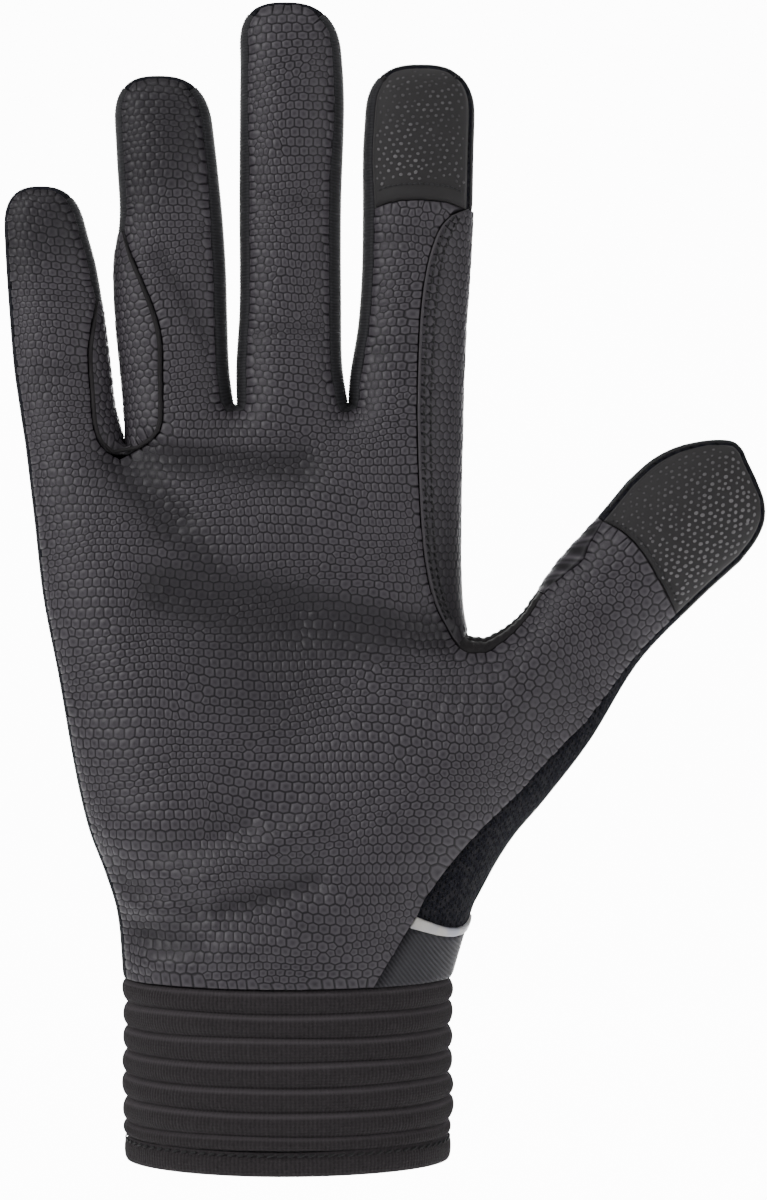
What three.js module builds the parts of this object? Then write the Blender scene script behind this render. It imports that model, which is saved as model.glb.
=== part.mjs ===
// A riding glove for the right hand, held in the shape of a worn one.
// The palm side faces -Y, the fingers point to +Z and the thumb lies to +X.
// The origin is the middle of the cuff's mouth.
import * as THREE from 'three';

// Walls and seams, in millimetres
const leatherWall = 1.4;
const fabricWall = 1.2;
const padWall = 1.3;
const seamGap = 0.3;
const bindingProud = 0.5;
const pipingProud = 0.6;

// Cuff
const cuffHeight = 37;
const cuffWall = 2.0;
const cuffRibs = 6;
const ribBulge = 1.1;
const foldHeight = 3.1;
const hemHeight = 4.8;
const hemBulge = 0.7;
const wristWidth = 67.4;
const wristDepth = 44;

// Palm
const palmLength = 116.9;
const palmDepth = 31;
const palmShift = -9;
const knuckleDepth = 21;
const outerRootDrop = 8.2;
const innerRootDrop = 3;

// Fingers
const littleWidth = 20.5;
const littleLength = 52.3;
const littleDepth = 16;
const ringWidth = 22.8;
const ringLength = 70.6;
const ringDepth = 18;
const middleWidth = 22.8;
const middleLength = 81.4;
const middleDepth = 18.5;
const indexWidth = 23.4;
const indexLength = 70.2;
const indexDepth = 18.5;
const fingerCurl = 5;

// Thumb
const thumbLength = 63.2;
const thumbWidth = 27.9;
const thumbDepth = 19;
const thumbAngle = 50;
const thumbCurl = 6;
const thumbCrotchRise = 69;
const thumbCrotchOut = 4.7;
const heelRise = 12.8;
const heelOut = 3.7;

// How far each side panel shows on the palm side, and how far it turns onto the back
const edgeShow = 1.2;
const fourchetteShow = 2.3;
const notchPatchShow = 9.5;
const sidePatchShow = 9.5;
const bindingShow = 2.6;
const thumbPatchShow = 3.4;
const heelShow = 16;
const backTurn = 2.8;
const pipingWidth = 2.1;

// Height of the folds and mounds of the palm, and how far from an edge they reach full height
const foldDepth = 1.5;
const moundHeight = 3;
const reliefFade = 8;

// Height over which the palm's section turns into a finger's above the webs
const webRise = 12;

// Round fingertips: length as a share of the finger's width, and squareness
const capShare = 0.45;
const capPower = 2.6;

// Where the thumb tip pad's seam meets the upper and lower edges, and where the round tip's
// top begins, as shares of those edges; how the lower rows crowd towards the tip
const upperPadShare = 0.78;
const lowerPadShare = 0.813;
const capSide = 0.27;
const lowerCrowding = 1.6;

// First row of the thumb that the side patch covers, and rows between heel and fork
const patchStart = 3;
const forkRows = 8;

// Rise of the reflective band towards the seam, as a share of its length on the palm side, its sag
// between the seam and the edge, and
// how much of the heel's width still shows at the heel
const heelTilt = 0.1;
const bandSag = 2.4;
const heelShare = 0.7;

// Fourchettes show less beside a fingertip, as a share of their full width
const tipShare = 0.8;

// Bulges of the cuff's fold and top edge, as shares of the ribs' bulge
const foldShare = 0.7;
const topShare = 0.5;

// Rows of the palm above the thumb's fork, as shares of the way up to the root
const sideShares = [0.05, 0.14, 0.28, 0.46, 0.64, 0.82, 1];

// How far a seam's corner may be drawn back, and the height within which a point is at the wrist
const cornerLimit = 0.4;
const wristTolerance = 1e-6;

// Side panels: place of the middle line of points between the outline and the seam
const nearEdge = 0.29;

// Grid counts
const fingerColumns = 5;
const breakRows = 5;
const webCloseness = 1.3;
const shoulderRows = 2;
const capRows = 3;
const thumbBreakRows = 7;
const stripCells = 4;
const cuffSides = 40;
const ribSteps = 3;

// Colours, roughness
const looks = {
  leather: { color: 0x35323a, roughness: 0.55 },
  mesh: { color: 0x1d1f2b, roughness: 0.9 },
  twill: { color: 0x24222b, roughness: 0.8 },
  piping: { color: 0xd5d3d6, roughness: 0.4 },
  ribbed: { color: 0x1e1c21, roughness: 0.8 },
  pad: { color: 0x2b2a2e, roughness: 0.75 },
  knit: { color: 0x262325, roughness: 0.95 },
};

// Finger outlines: share of the length from the root, width as a share of the root's width,
// lean of the centre line as a share of the length
const littleShape = [
  { at: 0, width: 1, lean: 0 },
  { at: 0.15, width: 0.955, lean: -0.032 },
  { at: 0.3, width: 0.963, lean: -0.051 },
  { at: 0.5, width: 0.942, lean: -0.07 },
  { at: 0.7, width: 0.89, lean: -0.091 },
  { at: 0.857, width: 0.8, lean: -0.113 },
  { at: 1, width: 0.76, lean: -0.124 },
];
const ringShape = [
  { at: 0, width: 1, lean: 0 },
  { at: 0.15, width: 0.973, lean: -0.017 },
  { at: 0.3, width: 0.996, lean: -0.027 },
  { at: 0.45, width: 1, lean: -0.0315 },
  { at: 0.6, width: 0.917, lean: -0.0275 },
  { at: 0.75, width: 0.89, lean: -0.0375 },
  { at: 0.87, width: 0.865, lean: -0.047 },
  { at: 1, width: 0.84, lean: -0.059 },
];
const middleShape = [
  { at: 0, width: 1, lean: 0 },
  { at: 0.1, width: 0.95, lean: -0.008 },
  { at: 0.25, width: 0.91, lean: -0.005 },
  { at: 0.5, width: 0.91, lean: -0.005 },
  { at: 0.75, width: 0.928, lean: 0 },
  { at: 0.88, width: 0.9, lean: -0.003 },
  { at: 1, width: 0.88, lean: -0.016 },
];
const indexShape = [
  { at: 0, width: 1, lean: 0 },
  { at: 0.1, width: 0.995, lean: 0.004 },
  { at: 0.25, width: 0.943, lean: 0.0195 },
  { at: 0.4, width: 0.939, lean: 0.03 },
  { at: 0.57, width: 0.956, lean: 0.036 },
  { at: 0.75, width: 0.965, lean: 0.038 },
  { at: 0.87, width: 0.952, lean: 0.043 },
  { at: 1, width: 0.93, lean: 0.0435 },
];

// Little finger's side of the palm: share of the way up, share of the way out
const outerSide = [
  { at: 0, out: 0 },
  { at: 0.12, out: 0.06 },
  { at: 0.194, out: 0.18 },
  { at: 0.27, out: 0.337 },
  { at: 0.343, out: 0.44 },
  { at: 0.417, out: 0.52 },
  { at: 0.565, out: 0.66 },
  { at: 0.713, out: 0.816 },
  { at: 0.86, out: 0.908 },
  { at: 1, out: 1 },
];

// Index finger's side between the thumb's fork and the root: share up, share of the fork's way out
const innerSide = [
  { at: 0, out: 1 },
  { at: 0.006, out: 0.35 },
  { at: 0.05, out: 0.2 },
  { at: 0.12, out: 0.065 },
  { at: 0.25, out: -0.043 },
  { at: 0.5, out: -0.087 },
  { at: 1, out: 0 },
];

// Thumb's upper edge: share of the way to the shoulder, share of the thumb's width
const thumbUpper = [
  { at: 0, out: 0 },
  { at: 0.1, out: 0.063 },
  { at: 0.22, out: 0.09 },
  { at: 0.36, out: 0.057 },
  { at: 0.51, out: 0.037 },
  { at: 0.76, out: 0.051 },
  { at: 1, out: 0.048 },
];

// Thumb's lower edge: share of the way from the heel to the shoulder,
// sag off the straight line as a share of the thumb's width
const thumbLower = [
  { at: 0, out: 0 },
  { at: 0.034, out: -0.04 },
  { at: 0.189, out: -0.092 },
  { at: 0.304, out: -0.073 },
  { at: 0.471, out: -0.07 },
  { at: 0.682, out: -0.138 },
  { at: 0.869, out: -0.072 },
  { at: 1, out: 0 },
];

// Thumb's tip from the upper shoulder round to the lower one:
// share of the thumb's length, share of its width
const thumbCap = [
  { at: 0, along: 0.684, across: 0.048 },
  { at: 0.08, along: 0.783, across: 0.081 },
  { at: 0.16, along: 0.863, across: 0.154 },
  { at: 0.25, along: 0.93, across: 0.265 },
  { at: 0.33, along: 0.974, across: 0.368 },
  { at: 0.42, along: 0.997, across: 0.456 },
  { at: 0.5, along: 0.994, across: 0.544 },
  { at: 0.58, along: 0.978, across: 0.618 },
  { at: 0.67, along: 0.949, across: 0.765 },
  { at: 0.75, along: 0.914, across: 0.904 },
  { at: 0.83, along: 0.866, across: 1 },
  { at: 0.92, along: 0.799, across: 1.048 },
  { at: 1, along: 0.719, across: 1.059 },
];

// Depth of the palm: share of the way up to the roots, roundness of the edge as a share
// of half the wrist's width, front and back as shares of half the palm's depth
const palmSections = [
  { at: 0, round: 1, front: 1.42, back: 1.42 },
  { at: 0.15, round: 0.83, front: 1.3, back: 1.25 },
  { at: 0.35, round: 0.66, front: 1.12, back: 1.05 },
  { at: 0.6, round: 0.56, front: 1, back: 0.87 },
  { at: 0.85, round: 0.44, front: 0.83, back: 0.72 },
  { at: 1, round: 0.34, front: 0.69, back: 0.64 },
];

// Share of the side panel's full showing width, from the fork of the fingers upwards
const notchPatchRing = [
  { at: 0, show: 0.3 },
  { at: 0.012, show: 0.48 },
  { at: 0.04, show: 0.8 },
  { at: 0.12, show: 0.88 },
  { at: 0.3, show: 0.93 },
  { at: 0.5, show: 1 },
  { at: 0.75, show: 0.72 },
  { at: 1, show: 0.18 },
];
const notchPatchLittle = [
  { at: 0, show: 0.3 },
  { at: 0.012, show: 0.37 },
  { at: 0.05, show: 0.47 },
  { at: 0.12, show: 0.5 },
  { at: 0.3, show: 0.44 },
  { at: 0.65, show: 0.38 },
  { at: 1, show: 0.1 },
];
const sidePatchFinger = [
  { at: 0, show: 0.99 },
  { at: 0.5, show: 1 },
  { at: 0.72, show: 0.92 },
  { at: 0.87, show: 0.74 },
  { at: 0.95, show: 0.52 },
  { at: 1, show: 0.13 },
];
const sidePatchPalm = [
  { at: 0, show: 0.3 },
  { at: 0.1, show: 0.5 },
  { at: 0.22, show: 0.68 },
  { at: 0.4, show: 0.82 },
  { at: 0.75, show: 0.94 },
  { at: 1, show: 0.99 },
];
const thumbPatchEdge = [
  { at: 0, show: 0.76 },
  { at: 0.16, show: 0.42 },
  { at: 0.35, show: 0.3 },
  { at: 0.45, show: 0.4 },
  { at: 0.6, show: 0.75 },
  { at: 0.74, show: 1 },
  { at: 0.83, show: 0.7 },
  { at: 1, show: 0.36 },
];
const heelEdge = [
  { at: 0, show: 0.075 },
  { at: 0.3, show: 0.094 },
  { at: 0.5, show: 0.17 },
  { at: 0.65, show: 0.31 },
  { at: 0.84, show: 0.43 },
  { at: 1, show: heelShare },
];

// Outside of the hem: share of its height, share of its bulge
const hemShape = [
  { up: 0, out: 0.5 },
  { up: 0.3, out: 1 },
  { up: 0.8, out: 1 },
  { up: 1, out: 0.3 },
];

// Folds of the palm side. Ends are shares across the knuckles' width from their middle, and
// shares of the way up from the cuff to the roots; depth and width are shares of foldDepth
const folds = [
  { fromAcross: -0.27, fromUp: 0.906, toAcross: -0.15, toUp: 0.79, depth: 0.9, width: 3 },
  { fromAcross: -0.15, fromUp: 0.79, toAcross: -0.055, toUp: 0.7, depth: 0.5, width: 3 },
  { fromAcross: -0.21, fromUp: 0.911, toAcross: 0.13, toUp: 0.893, depth: 0.7, width: 3 },
  { fromAcross: -0.16, fromUp: 0.676, toAcross: 0.13, toUp: 0.633, depth: 1, width: 3.4 },
  { fromAcross: 0.13, fromUp: 0.633, toAcross: 0.45, toUp: 0.595, depth: 0.9, width: 3 },
  { fromAcross: -0.3, fromUp: 0.182, toAcross: -0.1, toUp: 0.138, depth: 0.7, width: 2.4 },
  { fromAcross: -0.27, fromUp: 0.095, toAcross: -0.1, toUp: 0.061, depth: 0.7, width: 2.4 },
];

// Mounds and hollows of the palm side, in the same shares
const mounds = [
  { across: 0.43, up: 0.34, height: 1, reach: 0.2 },
  { across: -0.15, up: 0.29, height: 0.7, reach: 0.18 },
  { across: 0.1, up: 0.5, height: -0.5, reach: 0.2 },
];

// Smooth reading of a table column at a share of its length
function along(table, column, share) {
  const last = table.length - 1;
  const at = Math.min(Math.max(share, table[0].at), table[last].at);
  let row = 0;
  while (row < last - 1 && table[row + 1].at < at) {
    row += 1;
  }
  const slope = (i) => {
    const low = table[Math.max(i - 1, 0)];
    const high = table[Math.min(i + 1, last)];
    return (high[column] - low[column]) / (high.at - low.at);
  };
  const span = table[row + 1].at - table[row].at;
  const t = (at - table[row].at) / span;
  const start = table[row][column] * (1 + 2 * t) * (1 - t) ** 2;
  const end = table[row + 1][column] * t * t * (3 - 2 * t);
  const turns = slope(row) * t * (1 - t) ** 2 - slope(row + 1) * t * t * (1 - t);
  return start + end + turns * span;
}

const mix = (a, b, t) => a + (b - a) * t;
const ease = (t) => {
  const held = Math.min(Math.max(t, 0), 1);
  return held * held * (3 - 2 * held);
};
const midpoint = (p, q, t) => ({ x: mix(p.x, q.x, t), z: mix(p.z, q.z, t) });

// Places worked out from the sizes
const knuckleWidth = littleWidth + ringWidth + middleWidth + indexWidth;
const rootHeight = cuffHeight + palmLength;
const outerRootX = palmShift - knuckleWidth / 2;
const innerRootX = palmShift + knuckleWidth / 2;
const forkHeight = cuffHeight + thumbCrotchRise;
const fork = { x: innerRootX + thumbCrotchOut, z: forkHeight };
const heel = { x: wristWidth / 2 + heelOut, z: cuffHeight + heelRise };
const thumbTurn = (thumbAngle * Math.PI) / 180;
const thumbAlong = { x: Math.cos(thumbTurn), z: Math.sin(thumbTurn) };
const thumbAcross = { x: Math.sin(thumbTurn), z: -Math.cos(thumbTurn) };

// One finger: its outline at a height, its round tip, and the webs at its root. The break is
// where a patch or a tip pad ends.
function makeFinger(spec, leftX) {
  const { name, width, length, depth, shape, leftDrop, rightDrop, breakShare } = spec;
  const root = rootHeight - (leftDrop + rightDrop) / 2;
  const tip = root + length;
  const capLength = capShare * width;
  const shoulder = tip - capLength;
  const centre = (z) => leftX + width / 2 + along(shape, 'lean', (z - root) / length) * length;
  const half = (z) => (along(shape, 'width', (z - root) / length) * width) / 2;
  const edge = (side, z) => ({ x: centre(z) + side * half(z), z });
  const cap = (turn) => {
    const z = shoulder + capLength * Math.sin(turn) ** (2 / capPower);
    const reach = Math.abs(Math.cos(turn)) ** (2 / capPower) * Math.sign(-Math.cos(turn));
    return { x: centre(z) + reach * half(z), z };
  };
  const breakHeight = root + breakShare * length;
  const leftWeb = { x: leftX, z: rootHeight - leftDrop };
  const rightWeb = { x: leftX + width, z: rootHeight - rightDrop };
  return { name, root, length, depth, centre, half, edge, cap, shoulder, breakHeight,
    leftWeb, rightWeb };
}

const fingerSpecs = [
  { name: 'little', width: littleWidth, length: littleLength, depth: littleDepth,
    shape: littleShape, leftDrop: outerRootDrop, rightDrop: outerRootDrop, breakShare: 0.56 },
  { name: 'ring', width: ringWidth, length: ringLength, depth: ringDepth,
    shape: ringShape, leftDrop: outerRootDrop, rightDrop: 0, breakShare: 0.55 },
  { name: 'middle', width: middleWidth, length: middleLength, depth: middleDepth,
    shape: middleShape, leftDrop: 0, rightDrop: 0, breakShare: 0.58 },
  { name: 'index', width: indexWidth, length: indexLength, depth: indexDepth,
    shape: indexShape, leftDrop: 0, rightDrop: innerRootDrop, breakShare: 0.582 },
];
const fingers = [];
fingerSpecs.reduce((leftX, spec) => {
  fingers.push(makeFinger(spec, leftX));
  return leftX + spec.width;
}, outerRootX);

// Rows of a finger's side from its root up to where the round tip's top begins
function fingerSide(finger, side) {
  const web = side < 0 ? finger.leftWeb : finger.rightWeb;
  const points = [];
  for (let row = 1; row <= breakRows; row += 1) {
    const share = (row / breakRows) ** webCloseness;
    points.push(finger.edge(side, mix(web.z, finger.breakHeight, share)));
  }
  for (let row = 1; row <= shoulderRows; row += 1) {
    points.push(finger.edge(side, mix(finger.breakHeight, finger.shoulder, row / shoulderRows)));
  }
  for (let row = 1; row <= capRows; row += 1) {
    const turn = ((Math.PI / 4) * row) / capRows;
    points.push(finger.cap(side < 0 ? turn : Math.PI - turn));
  }
  return points;
}

// The outline, clockwise as the palm side is seen. Each point keeps the names of the side panel
// that the stretch to the next point belongs to, and how far the seam lies inside the outline.
const outline = [];
function addPoint(point, front, back, show) {
  outline.push({ ...point, front, back, show });
}

// Heights of the palm's rows: up to the heel, up to the thumb's fork, up to the roots
const pipingTop = heel.z;
const pipingBottom = heel.z - pipingWidth;
const innerRootZ = rootHeight - innerRootDrop;
const palmHeights = [cuffHeight, mix(cuffHeight, pipingBottom, 0.5), pipingBottom, pipingTop];
const heelRow = palmHeights.length - 1;
for (let row = 1; row <= forkRows; row += 1) {
  palmHeights.push(mix(heel.z, fork.z, row / forkRows));
}
const forkRow = palmHeights.length - 1;
sideShares.forEach((share) => palmHeights.push(mix(fork.z, innerRootZ, share)));
const palmRows = palmHeights.length - 1;

// Little finger's side of the palm
const outerRootZ = rootHeight - outerRootDrop;
palmHeights.forEach((height) => {
  const up = (height - cuffHeight) / (innerRootZ - cuffHeight);
  const x = mix(-wristWidth / 2, outerRootX, along(outerSide, 'out', up));
  addPoint({ x, z: mix(cuffHeight, outerRootZ, up) }, 'back_panel', 'back_panel', edgeShow);
});

// How far the side panel shows on a finger's side, from the web at 0 to the break at 1
const fullShow = (finger, side, share) => {
  if (finger.name === 'little') {
    return side < 0 ? edgeShow : notchPatchShow * along(notchPatchLittle, 'show', share);
  }
  if (finger.name === 'ring' && side < 0) {
    return notchPatchShow * along(notchPatchRing, 'show', share);
  }
  if (finger.name === 'index' && side > 0) {
    return sidePatchShow * along(sidePatchFinger, 'show', share);
  }
  return fourchetteShow;
};
const upperShow = (finger, side) => {
  const plain = (finger.name === 'little') || (finger.name === 'index' && side > 0);
  return plain ? edgeShow : fourchetteShow * tipShare;
};
const sidePanels = {
  little: { left: 'back_panel', right: 'fourchette_little_ring' },
  ring: { left: 'fourchette_little_ring', right: 'fourchette_ring_middle' },
  middle: { left: 'fourchette_ring_middle', right: 'fourchette_middle_index' },
  index: { left: 'fourchette_middle_index', right: 'back_panel' },
};

fingers.forEach((finger, number) => {
  const left = fingerSide(finger, -1);
  const right = fingerSide(finger, 1);
  const panels = sidePanels[finger.name];
  const leftLow = finger.name === 'ring' ? 'ring_little_patch' : panels.left;
  const rightLow = { little: 'ring_little_patch', index: 'index_side_patch' }[finger.name]
    ?? panels.right;
  const rightLowBack = finger.name === 'index' ? 'index_side_patch' : panels.right;
  outline[outline.length - 1].front = leftLow;
  outline[outline.length - 1].back = panels.left;
  left.forEach((point, i) => {
    const low = i + 1 < breakRows;
    const last = i === left.length - 1;
    const front = low ? leftLow : panels.left;
    const share = ((i + 1) / breakRows) ** webCloseness;
    const show = i < breakRows ? fullShow(finger, -1, share) : upperShow(finger, -1);
    const atTip = last ? 'back_panel' : null;
    addPoint(point, atTip ?? front, atTip ?? panels.left, show);
  });
  for (let column = 1; column < fingerColumns; column += 1) {
    const turn = Math.PI * mix(0.25, 0.75, column / fingerColumns);
    addPoint(finger.cap(turn), 'back_panel', 'back_panel', edgeShow);
  }
  [...right].reverse().forEach((point, i) => {
    const row = right.length - i;
    const low = row <= breakRows;
    const share = (row / breakRows) ** webCloseness;
    const show = row <= breakRows ? fullShow(finger, 1, share) : upperShow(finger, 1);
    addPoint(point, low ? rightLow : panels.right, low ? rightLowBack : panels.right, show);
  });
  const web = number < fingers.length - 1 ? finger.rightWeb : { x: innerRootX, z: innerRootZ };
  const next = sidePanels[fingers[number + 1]?.name]?.left ?? 'index_side_patch';
  const webShow = fullShow(finger, 1, 0);
  addPoint(web, next, next, webShow);
});

// Index finger's side of the palm, from its root down to the thumb's fork
for (let row = palmRows - 1; row > forkRow; row -= 1) {
  const share = (palmHeights[row] - fork.z) / (innerRootZ - fork.z);
  const x = innerRootX + thumbCrotchOut * along(innerSide, 'out', share);
  const show = sidePatchShow * along(sidePatchPalm, 'show', share);
  const binding = row === forkRow + 1;
  const front = binding ? 'crotch_binding' : 'index_side_patch';
  const back = binding ? 'back_panel' : 'index_side_patch';
  addPoint({ x, z: palmHeights[row] }, front, back, show);
}

// The thumb's frame: lengths along it and across it from the fork
const inThumb = (alongIt, acrossIt) => ({
  x: fork.x + alongIt * thumbAlong.x + acrossIt * thumbAcross.x,
  z: fork.z + alongIt * thumbAlong.z + acrossIt * thumbAcross.z,
});
const heelAlong = (heel.x - fork.x) * thumbAlong.x + (heel.z - fork.z) * thumbAlong.z;
const heelAcross = (heel.x - fork.x) * thumbAcross.x + (heel.z - fork.z) * thumbAcross.z;
const upperShoulder = thumbCap[0].along * thumbLength;
const capEnd = thumbCap[thumbCap.length - 1];
const lowerShoulder = capEnd.along * thumbLength;
const upperEdge = (share) => inThumb(share * upperShoulder,
  along(thumbUpper, 'out', share) * thumbWidth);
const lowerEdge = (share) => inThumb(mix(heelAlong, lowerShoulder, share),
  mix(heelAcross, capEnd.across * thumbWidth, share) + along(thumbLower, 'out', share) * thumbWidth);
const capEdge = (share) => inThumb(along(thumbCap, 'along', share) * thumbLength,
  along(thumbCap, 'across', share) * thumbWidth);

// Rows of the thumb up to the tip pad's seam, then to the shoulders, then round the cap
const thumbRows = thumbBreakRows + shoulderRows + capRows;
const thumbColumns = forkRows;
const upperPoints = [];
const lowerPoints = [];
for (let row = 1; row <= thumbBreakRows; row += 1) {
  const share = row / thumbBreakRows;
  upperPoints.push(upperEdge(upperPadShare * share));
  lowerPoints.push(lowerEdge(lowerPadShare * (1 - (1 - share) ** lowerCrowding)));
}
for (let row = 1; row <= shoulderRows; row += 1) {
  upperPoints.push(upperEdge(mix(upperPadShare, 1, row / shoulderRows)));
  lowerPoints.push(lowerEdge(mix(lowerPadShare, 1, row / shoulderRows)));
}
for (let row = 1; row <= capRows; row += 1) {
  upperPoints.push(capEdge((capSide * row) / capRows));
  lowerPoints.push(capEdge(1 - (capSide * row) / capRows));
}

// Round the thumb: fork, upper edge, cap, lower edge, heel
addPoint(fork, 'crotch_binding', 'back_panel', bindingShow);
upperPoints.forEach((point, i) => {
  const row = i + 1;
  const share = row / thumbBreakRows;
  const inPatch = row >= patchStart && row < thumbBreakRows;
  const lowPanel = row < patchStart ? 'crotch_binding' : 'back_panel';
  const show = row <= thumbBreakRows
    ? thumbPatchShow * along(thumbPatchEdge, 'show', share) : edgeShow;
  addPoint(point, inPatch ? 'thumb_side_patch' : lowPanel, 'back_panel', show);
});
for (let column = 1; column < thumbColumns; column += 1) {
  const point = capEdge(mix(capSide, 1 - capSide, column / thumbColumns));
  addPoint(point, 'back_panel', 'back_panel', edgeShow);
}
[...lowerPoints].reverse().forEach((point, i) => {
  const row = lowerPoints.length - i;
  const share = 1 - row / thumbBreakRows;
  const show = row <= thumbBreakRows ? heelShow * along(heelEdge, 'show', share) : edgeShow;
  addPoint(point, 'back_panel', 'back_panel', show);
});
addPoint(heel, 'reflective_piping', 'reflective_piping', heelShare * heelShow);
for (let row = heelRow - 1; row >= 0; row -= 1) {
  const share = (palmHeights[row] - cuffHeight) / heelRise;
  const x = mix(wristWidth / 2, heel.x, share);
  const show = heelShow * mix(1, heelShare, share);
  addPoint({ x, z: palmHeights[row] }, 'wrist_panel', 'wrist_panel', show);
}

// Distance inside the outline. Below the wrist the outline runs straight down.
const below = { x: -wristWidth / 2, z: -palmLength };
const belowEnd = { x: wristWidth / 2, z: -palmLength };
const fence = [below, ...outline, belowEnd];
function inside(x, z) {
  let nearest = Infinity;
  for (let i = 0; i < fence.length - 1; i += 1) {
    const a = fence[i];
    const b = fence[i + 1];
    const dx = b.x - a.x;
    const dz = b.z - a.z;
    const t = Math.min(Math.max(((x - a.x) * dx + (z - a.z) * dz) / (dx * dx + dz * dz), 0), 1);
    nearest = Math.min(nearest, Math.hypot(x - a.x - t * dx, z - a.z - t * dz));
  }
  return nearest;
}

// Section at a point of the hand: how far in the edge is round, half depths, and the curl.
// The wrist's oval ends, and the knuckles' depth begins, at these shares of the palm's length;
// the palm turns into the thumb over a share of the thumb's width.
const wristEnd = 0.12;
const knuckleStart = 0.8;
const thumbBlend = 0.8;
function section(x, z) {
  const up = (z - cuffHeight) / palmLength;
  const found = {
    round: (along(palmSections, 'round', up) * wristWidth) / 2,
    front: (along(palmSections, 'front', up) * palmDepth) / 2,
    back: (along(palmSections, 'back', up) * palmDepth) / 2,
    curl: 0,
  };
  const blend = (share, round, half, curl) => {
    found.round = mix(found.round, round, share);
    found.front = mix(found.front, half, share);
    found.back = mix(found.back, half, share);
    found.curl = mix(found.curl, curl, share);
  };
  blend(ease((up - knuckleStart) / (1 - knuckleStart)), found.round, knuckleDepth / 2, 0);
  blend(ease(1 - up / wristEnd), wristWidth / 2, wristDepth / 2, 0);
  const finger = fingers.reduce((best, one) => {
    const closer = Math.abs(x - one.centre(z)) < Math.abs(x - best.centre(z));
    return closer ? one : best;
  });
  const start = Math.min(finger.leftWeb.z, finger.rightWeb.z);
  const inFinger = ease((z - start) / webRise);
  const share = Math.max((z - finger.root) / finger.length, 0);
  blend(inFinger, finger.half(z), finger.depth / 2, -fingerCurl * share * share);
  const alongIt = (x - fork.x) * thumbAlong.x + (z - fork.z) * thumbAlong.z;
  const acrossIt = (x - fork.x) * thumbAcross.x + (z - fork.z) * thumbAcross.z;
  const line = { x: heel.x - fork.x, z: heel.z - fork.z };
  const beyond = ((x - fork.x) * -line.z + (z - fork.z) * line.x) / Math.hypot(line.x, line.z);
  const inThumbShare = acrossIt > 0 ? ease(beyond / (thumbWidth * thumbBlend)) : 0;
  const thumbShare = Math.max(alongIt / thumbLength, 0);
  blend(inThumbShare, thumbWidth / 2, thumbDepth / 2, -thumbCurl * thumbShare * thumbShare);
  return found;
}

// Folds and mounds of the palm side, towards the viewer when positive
function relief(x, z) {
  const across = (x - palmShift) / knuckleWidth;
  const up = (z - cuffHeight) / palmLength;
  let height = 0;
  folds.forEach((fold) => {
    const dx = (fold.toAcross - fold.fromAcross) * knuckleWidth;
    const dz = (fold.toUp - fold.fromUp) * palmLength;
    const px = (across - fold.fromAcross) * knuckleWidth;
    const pz = (up - fold.fromUp) * palmLength;
    const t = Math.min(Math.max((px * dx + pz * dz) / (dx * dx + dz * dz), 0), 1);
    const off = Math.hypot(px - t * dx, pz - t * dz) / (fold.width * foldDepth);
    height -= fold.depth * foldDepth * Math.exp(-off * off);
  });
  mounds.forEach((mound) => {
    const off = Math.hypot((across - mound.across) * knuckleWidth, (up - mound.up) * palmLength);
    const reach = mound.reach * palmLength;
    height += mound.height * moundHeight * Math.exp(-(off * off) / (reach * reach));
  });
  return height;
}

// Depth at a point inside the outline: a rounded edge that runs into a flatter middle
function place(point, side) {
  const { x, z } = point;
  const here = section(x, z);
  const deep = inside(x, z);
  const half = side < 0 ? here.front : here.back;
  const short = 1 - Math.min(deep / here.round, 1);
  const fade = ease(deep / reliefFade) * ease((z - cuffHeight) / reliefFade);
  const extra = side < 0 ? relief(x, z) * fade : 0;
  return new THREE.Vector3(x, here.curl + side * (half * Math.sqrt(1 - short * short) + extra), z);
}

// The skin: shared points, and four-sided faces filed under the piece that they belong to
const skin = [];
const faces = {};
const pointNumber = new Map();
function numberOf(point, side) {
  if (!pointNumber.has(point)) {
    pointNumber.set(point, skin.length);
    skin.push(place(point, side));
  }
  return pointNumber.get(point);
}
function addFace(piece, corners) {
  faces[piece] = faces[piece] ?? [];
  faces[piece].push(corners);
}

// Rows of points between four given edges, blended from all of them
function patch(bottom, top, left, right) {
  const columns = bottom.length - 1;
  const rows = left.length - 1;
  const grid = [bottom];
  for (let row = 1; row < rows; row += 1) {
    const v = row / rows;
    const line = [left[row]];
    for (let column = 1; column < columns; column += 1) {
      const u = column / columns;
      const value = (axis) => mix(left[row][axis], right[row][axis], u)
        + mix(bottom[column][axis], top[column][axis], v)
        - mix(mix(bottom[0][axis], bottom[columns][axis], u),
          mix(top[0][axis], top[columns][axis], u), v);
      line.push({ x: value('x'), z: value('z') });
    }
    line.push(right[row]);
    grid.push(line);
  }
  grid.push(top);
  return grid;
}
const straight = (a, b, count) => {
  const points = [a];
  for (let i = 1; i < count; i += 1) {
    points.push(midpoint(a, b, i / count));
  }
  points.push(b);
  return points;
};

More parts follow.
